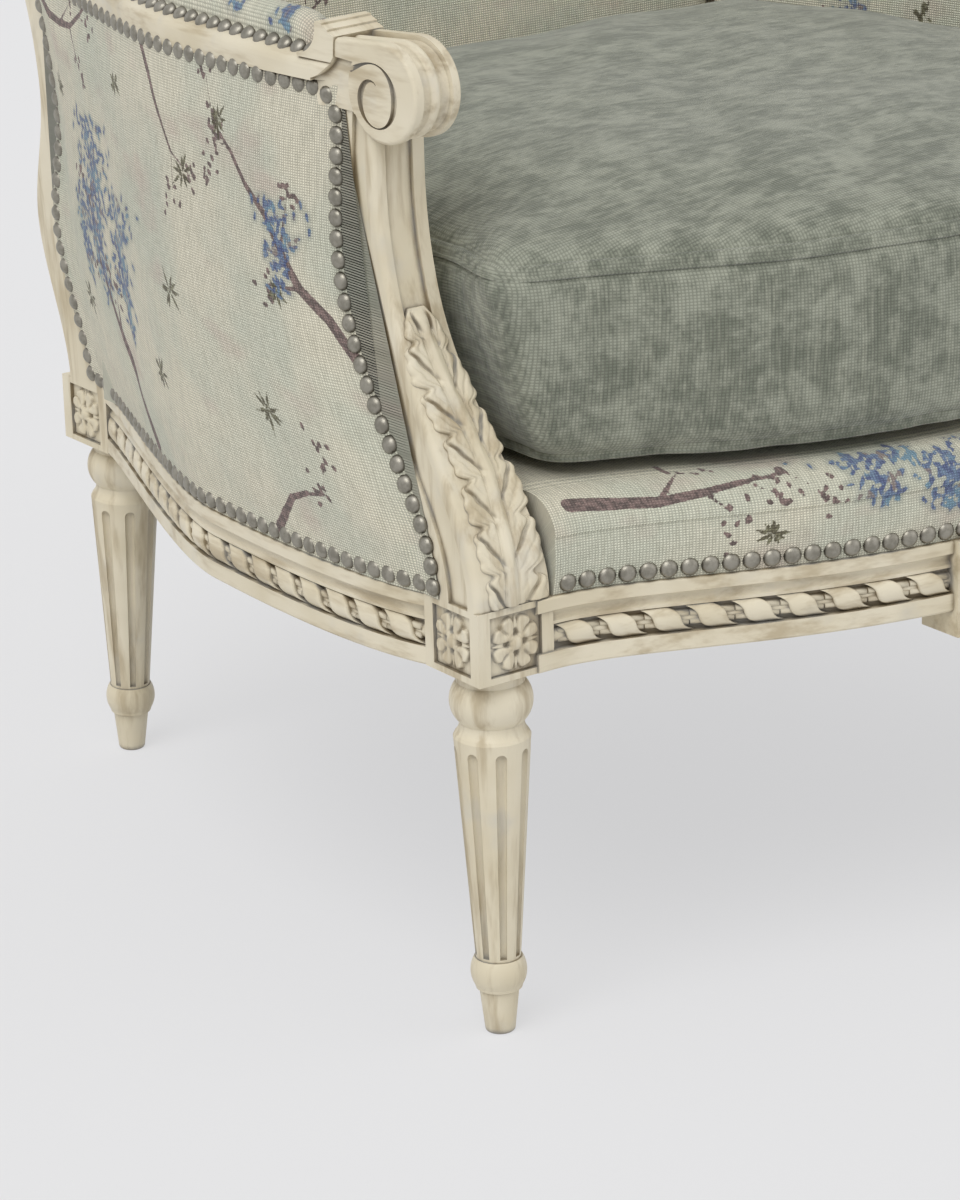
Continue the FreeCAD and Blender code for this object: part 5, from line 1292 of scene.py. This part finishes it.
# %% Acanthus leaves
def leaf(side):
    arc_z = np.linspace(RAIL_TOP + 0.001, 0.4435, 400)
    arc_y = edge_y(POST_FRONT, arc_z)
    run = np.concatenate([[0], np.cumsum(np.hypot(np.diff(arc_y), np.diff(arc_z)))])
    total = run[-1]
    rows, cols = 230, 96
    t = np.linspace(0, 1, rows)[:, None]
    s = np.linspace(-1, 1, cols)[None, :]
    at = t * total * 1000 * np.ones_like(s)
    rib = np.interp(at, [5, 27, 50, 79, 106, 134, 175, 190],
                    [-325.4, -323.8, -322.6, -321, -324, -328.7, -334.6, -336])
    left = np.interp(at, [2, 30, 62, 77, 100, 121, 140, 157, 174, 186],
                     [-341, -344.5, -343.5, -342, -344, -348, -351, -350.5, -346, -337.5])
    right = np.interp(at, [2, 50, 69, 87, 101, 120, 138, 158, 176, 187],
                      [-298.8, -299, -300.5, -303, -307, -309, -312.5, -318, -325, -334])
    reach = np.abs(s)
    count = np.where(s < 0, 6.0, 5.0)
    phase = count * (t * 1.06 - 0.17 * reach) + 0.35
    near = np.abs(phase - np.round(phase))
    f = phase - np.floor(phase)
    edge_phase = count * (t * 1.06 - 0.17) + 0.35
    edge_near = np.abs(edge_phase - np.round(edge_phase))
    edge_f = edge_phase - np.floor(edge_phase)
    trim = 1 - 0.27 * np.exp(-((edge_near / 0.10) ** 2)) - 0.055 * np.abs(np.cos(3 * math.pi * edge_f)) ** 3
    outer = np.where(s < 0, left, right)
    x = rib + reach * trim * (outer - rib)
    across = np.abs(x - rib)
    cup = np.sin(math.pi * f) ** 0.55
    lobes = 1.3 + 2.7 * cup * (0.35 + 0.65 * reach**0.8) * (1 - 0.35 * smooth((reach - 0.75) / 0.25))
    veins = 0.75 * np.abs(np.cos(3 * math.pi * f)) ** 6 * smooth((reach - 0.15) / 0.3)
    eyes = 2.6 * np.exp(-((near / 0.055) ** 2)) * np.exp(-(((reach - 0.62) / 0.30) ** 2))
    spine = 3.6 * np.exp(-((across / 2.6) ** 2)) + 0.9 * np.exp(-((across / 5.5) ** 2))
    furrow = 1.0 * np.exp(-(((across - 4.6) / 1.1) ** 2))
    height = np.maximum(lobes - veins - eyes, 0.3) * smooth(across / 4.0) + spine - furrow
    height = height * np.clip(1 - reach**10, 0.02, 1) ** 0.5 * smooth((1 - t) / 0.05 + 0.05)
    height = np.clip(height, 0.15, 5.2)
    z0 = np.interp(at / 1000, run, arc_z)
    y0 = np.interp(z0, arc_z, arc_y)
    slope = np.gradient(arc_y, arc_z)
    lean = np.interp(z0, arc_z, slope)
    scale = 1 / np.hypot(1, lean)
    points = np.stack([x * 0.001, y0 - 0.001 * height * scale, z0 + 0.001 * height * lean * scale], -1)
    points[:, :, 1] += 0.0003
    cloth = np.stack([x * 0.001, at * 0.001], -1)
    mesh = grid_mesh("post_leaf_" + side, points, cloth, inward=(0, 0.0035, 0), mirror=side == "left")
    carved(mesh, paint_upright)


for side in ("right", "left"):
    leaf(side)
print("carving done")

# %% [markdown]
# ## Flower on the centre block
# The block at the middle of the front rail is wider than it is high, so its sunk field is
# filled by one larger flower.

# %% Centre block
rosette("rosette_centre", (0, -0.3875, 0.2475), (1, 0, 0), (0, -1, 0), paint_across, 21.5)

# %% [markdown]
# ## The loose cushion
# A feather cushion in crushed sage velvet: full, crowned, with soft dimples, boxed sides
# and a flat welt at each seam. The solid is remeshed evenly, relaxed until its facets
# are gone, and dented a little; the welts are then laid on its own outline.

# %% Sage velvet
def velvet():
    g = Graph("sage_velvet")
    flat = g.add("ShaderNodeNewGeometry").outputs["Normal"]
    parts = g.add("ShaderNodeSeparateXYZ")
    g.put(parts.inputs[0], flat)
    top = g.between(parts.outputs["Z"], 0.45, 0.8)
    crushed = g.noise(0.030, 6.0, 0.68, g.stretched((1.0, 1.25, 1.0)))
    crushed_small = g.noise(0.008, 4.0, 0.65, g.stretched((0.6, 1.3, 1.0)))
    slub_top = g.noise(0.0035, 3.0, 0.6, g.stretched((0.12, 1.0, 1.0)))
    slub_side = g.noise(0.0035, 3.0, 0.6, g.stretched((1.0, 1.0, 0.10)))
    slub = g.mix(top, slub_side, slub_top)
    rub = g.math("ADD", g.math("MULTIPLY", crushed, 0.7), g.math("MULTIPLY", crushed_small, 0.35))
    light = g.mix(g.between(rub, 0.42, 0.66), (0.185, 0.20, 0.155), (0.37, 0.385, 0.31))
    light = g.mix(g.between(slub, 0.45, 0.72, 0.0, 0.45), light, (0.44, 0.45, 0.36))
    weave = g.math("MULTIPLY", g.waves(0.0021, "X", None, 0.5), g.waves(0.0019, "Z", None, 0.5))
    weave_top = g.math("MULTIPLY", g.waves(0.0021, "X", None, 0.5), g.waves(0.0019, "Y", None, 0.5))
    thread = g.mix(top, weave, weave_top)
    shade = g.between(thread, 0.0, 0.4, 0.72, 1.06)
    grey = g.add("ShaderNodeCombineColor")
    for socket in grey.inputs[:3]:
        g.put(socket, shade)
    colour = g.mix(1.0, light, grey.outputs[0], "MULTIPLY")
    g.put(g.shader.inputs["Sheen Weight"], 0.35)
    normal = g.bump(thread, 0.0005, 0.5, g.bump(g.math("ADD", crushed, slub), 0.003, 0.35))
    return g.finish(colour, 0.85, normal, Specular_IOR_Level=0.2)


sage = velvet()


def copy_of(name, source):
    obj = plain_object(name, source.data.copy())
    obj.matrix_world = source.matrix_world.copy()
    return obj


def apply_modifiers(obj):
    bpy.context.view_layer.update()
    done = obj.evaluated_get(bpy.context.evaluated_depsgraph_get())
    mesh = bpy.data.meshes.new_from_object(done)
    obj.modifiers.clear()
    obj.data = mesh


def cushion():
    obj = copy_of("cushion_velvet", nodes["seat_cushion"])
    obj.data.transform(obj.matrix_world)
    obj.matrix_world = Matrix.Identity(4)
    even = obj.modifiers.new("even", "REMESH")
    even.mode, even.voxel_size = "VOXEL", 0.0055
    relax = obj.modifiers.new("relax", "SMOOTH")
    relax.factor, relax.iterations = 0.5, 40
    apply_modifiers(obj)
    mesh = obj.data
    count = len(mesh.vertices)
    place, normal = np.empty(count * 3), np.empty(count * 3)
    mesh.vertices.foreach_get("co", place)
    mesh.vertices.foreach_get("normal", normal)
    place, normal = place.reshape(-1, 3), normal.reshape(-1, 3)
    x, y, z = place.T
    broad = np.sin(x * 31 + 1.3) * np.sin(y * 27 + 0.4) + 0.6 * np.sin(x * 57 - y * 41 + 2.0)
    side = smooth((0.466 - z) / 0.02)
    folds = np.sin(x * 88 + 3 * np.sin(z * 30)) * 0.5 + np.sin(x * 143 + y * 60 + z * 9) * 0.5
    dent = 0.0014 * broad * (1 - side) + 0.0007 * folds * side
    seam = 0.0022 * np.exp(-(((z - 0.466) / 0.006) ** 2)) + 0.0022 * np.exp(-(((z - 0.350) / 0.006) ** 2))
    place = place + normal * (dent - seam)[:, None]
    mesh.vertices.foreach_set("co", place.ravel())
    mesh.polygons.foreach_set("use_smooth", np.ones(len(mesh.polygons), bool))
    mesh.materials.clear()
    mesh.materials.append(sage)
    return obj


velvet_cushion = cushion()


def seam_outline(obj, height, tall=0.0045):
    """Outline of the cushion at a height: the farthest point in each direction."""
    place = np.empty(len(obj.data.vertices) * 3)
    obj.data.vertices.foreach_get("co", place)
    place = place.reshape(-1, 3)
    place = place[np.abs(place[:, 2] - height) < tall]
    middle = np.array([0.0, -0.08])
    away = place[:, :2] - middle
    angle, far = np.arctan2(away[:, 1], away[:, 0]), np.hypot(away[:, 0], away[:, 1])
    order = np.argsort(angle)
    angle, far = angle[order], far[order]
    grid = np.linspace(-math.pi, math.pi, 721)[:-1]
    wrapped = np.concatenate([angle - 2 * math.pi, angle, angle + 2 * math.pi])
    radius = np.interp(grid, wrapped, np.tile(far, 3))
    kernel = np.hanning(15) / np.hanning(15).sum()
    radius = np.convolve(np.concatenate([radius[-7:], radius, radius[:7]]), kernel, "valid")
    return middle + np.stack([np.cos(grid), np.sin(grid)], 1) * radius[:, None]


def welt(name, height, tilt):
    """A flat folded band all round, standing a little off the seam."""
    outline = seam_outline(velvet_cushion, height)
    along = np.roll(outline, -1, axis=0) - np.roll(outline, 1, axis=0)
    out = np.stack([along[:, 1], -along[:, 0]], 1)
    out /= np.linalg.norm(out, axis=1)[:, None]
    section = [(-2.5, -4.0), (0.4, -4.6), (2.4, -3.6), (3.0, -2.2), (1.7, -1.4), (2.2, 0.6),
               (2.0, 3.2), (0.8, 4.4),
               (-2.5, 4.0)]
    points = np.empty((len(outline), len(section), 3))
    for k, (away, up_by) in enumerate(section):
        push = (away + tilt * up_by) * 0.001
        points[:, k, :2] = outline + out * push
        points[:, k, 2] = height + up_by * 0.001
    rows, cols = points.shape[:2]
    index = np.arange(rows * cols).reshape(rows, cols)
    right_one, next_row = np.roll(index, -1, axis=1), np.roll(index, -1, axis=0)
    both = np.roll(right_one, -1, axis=0)
    faces = np.stack([index, right_one, both, next_row], -1).reshape(-1, 4)
    mesh = bpy.data.meshes.new(name)
    mesh.from_pydata(points.reshape(-1, 3).tolist(), [], faces.tolist())
    mesh.polygons.foreach_set("use_smooth", np.ones(len(mesh.polygons), bool))
    outward(mesh)
    mesh.materials.append(sage)
    obj = plain_object(name, mesh)
    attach(obj, "cushion")


welt("welt_upper", 0.466, -0.35)
welt("welt_lower", 0.350, 0.35)
settle(velvet_cushion, "cushion", "cushion_fabric", "seat_cushion", fill=0.9)
print("cushion", len(velvet_cushion.data.polygons), "faces")

# %% [markdown]
# ## Cloth under the seat
# A thin black cloth is stretched under the rails to keep dust out. It is one flat sheet,
# hanging slack by a few millimetres between its nailed edges.

# %% Dust cover
def dust_cover():
    source = nodes["dust_cover"]
    material = source.data.materials[0]
    place = np.array([source.matrix_world @ v.co for v in source.data.vertices])
    low = place[:, 2].min()
    xs, ys = np.linspace(-0.315, 0.315, 64), np.linspace(-0.360, 0.250, 64)
    edge_front = np.array([front_y(abs(x)) + 0.0275 for x in xs])
    grid = np.empty((64, 64, 3))
    for i, x in enumerate(xs):
        half = np.interp(ys, RAIL_CURVE[:, 1], -RAIL_CURVE[:, 0]) - 0.0255
        for j, share in enumerate(np.linspace(0, 1, 64)):
            y = edge_front[i] + share * (0.250 - edge_front[i])
            limit = float(np.interp(y, ys, half))
            grid[i, j] = (x / 0.315 * min(limit, 0.317), y, 0.0)
    x, y = grid[..., 0], grid[..., 1]
    arch = np.sin(math.pi * np.linspace(0, 1, 64))
    sag = 0.0016 * arch[:, None] * arch[None, :]
    grid[..., 2] = low + 0.0002 - sag
    mesh = grid_mesh("dust_cloth_sheet", grid, grid[..., :2].copy(), inward=(0, 0, 0.0006))
    outward(mesh)
    mesh.materials.clear()
    mesh.materials.append(material)
    obj = plain_object("dust_cloth_sheet", mesh)
    settle(obj, "frame", "dust_cloth", "dust_cover")


dust_cover()
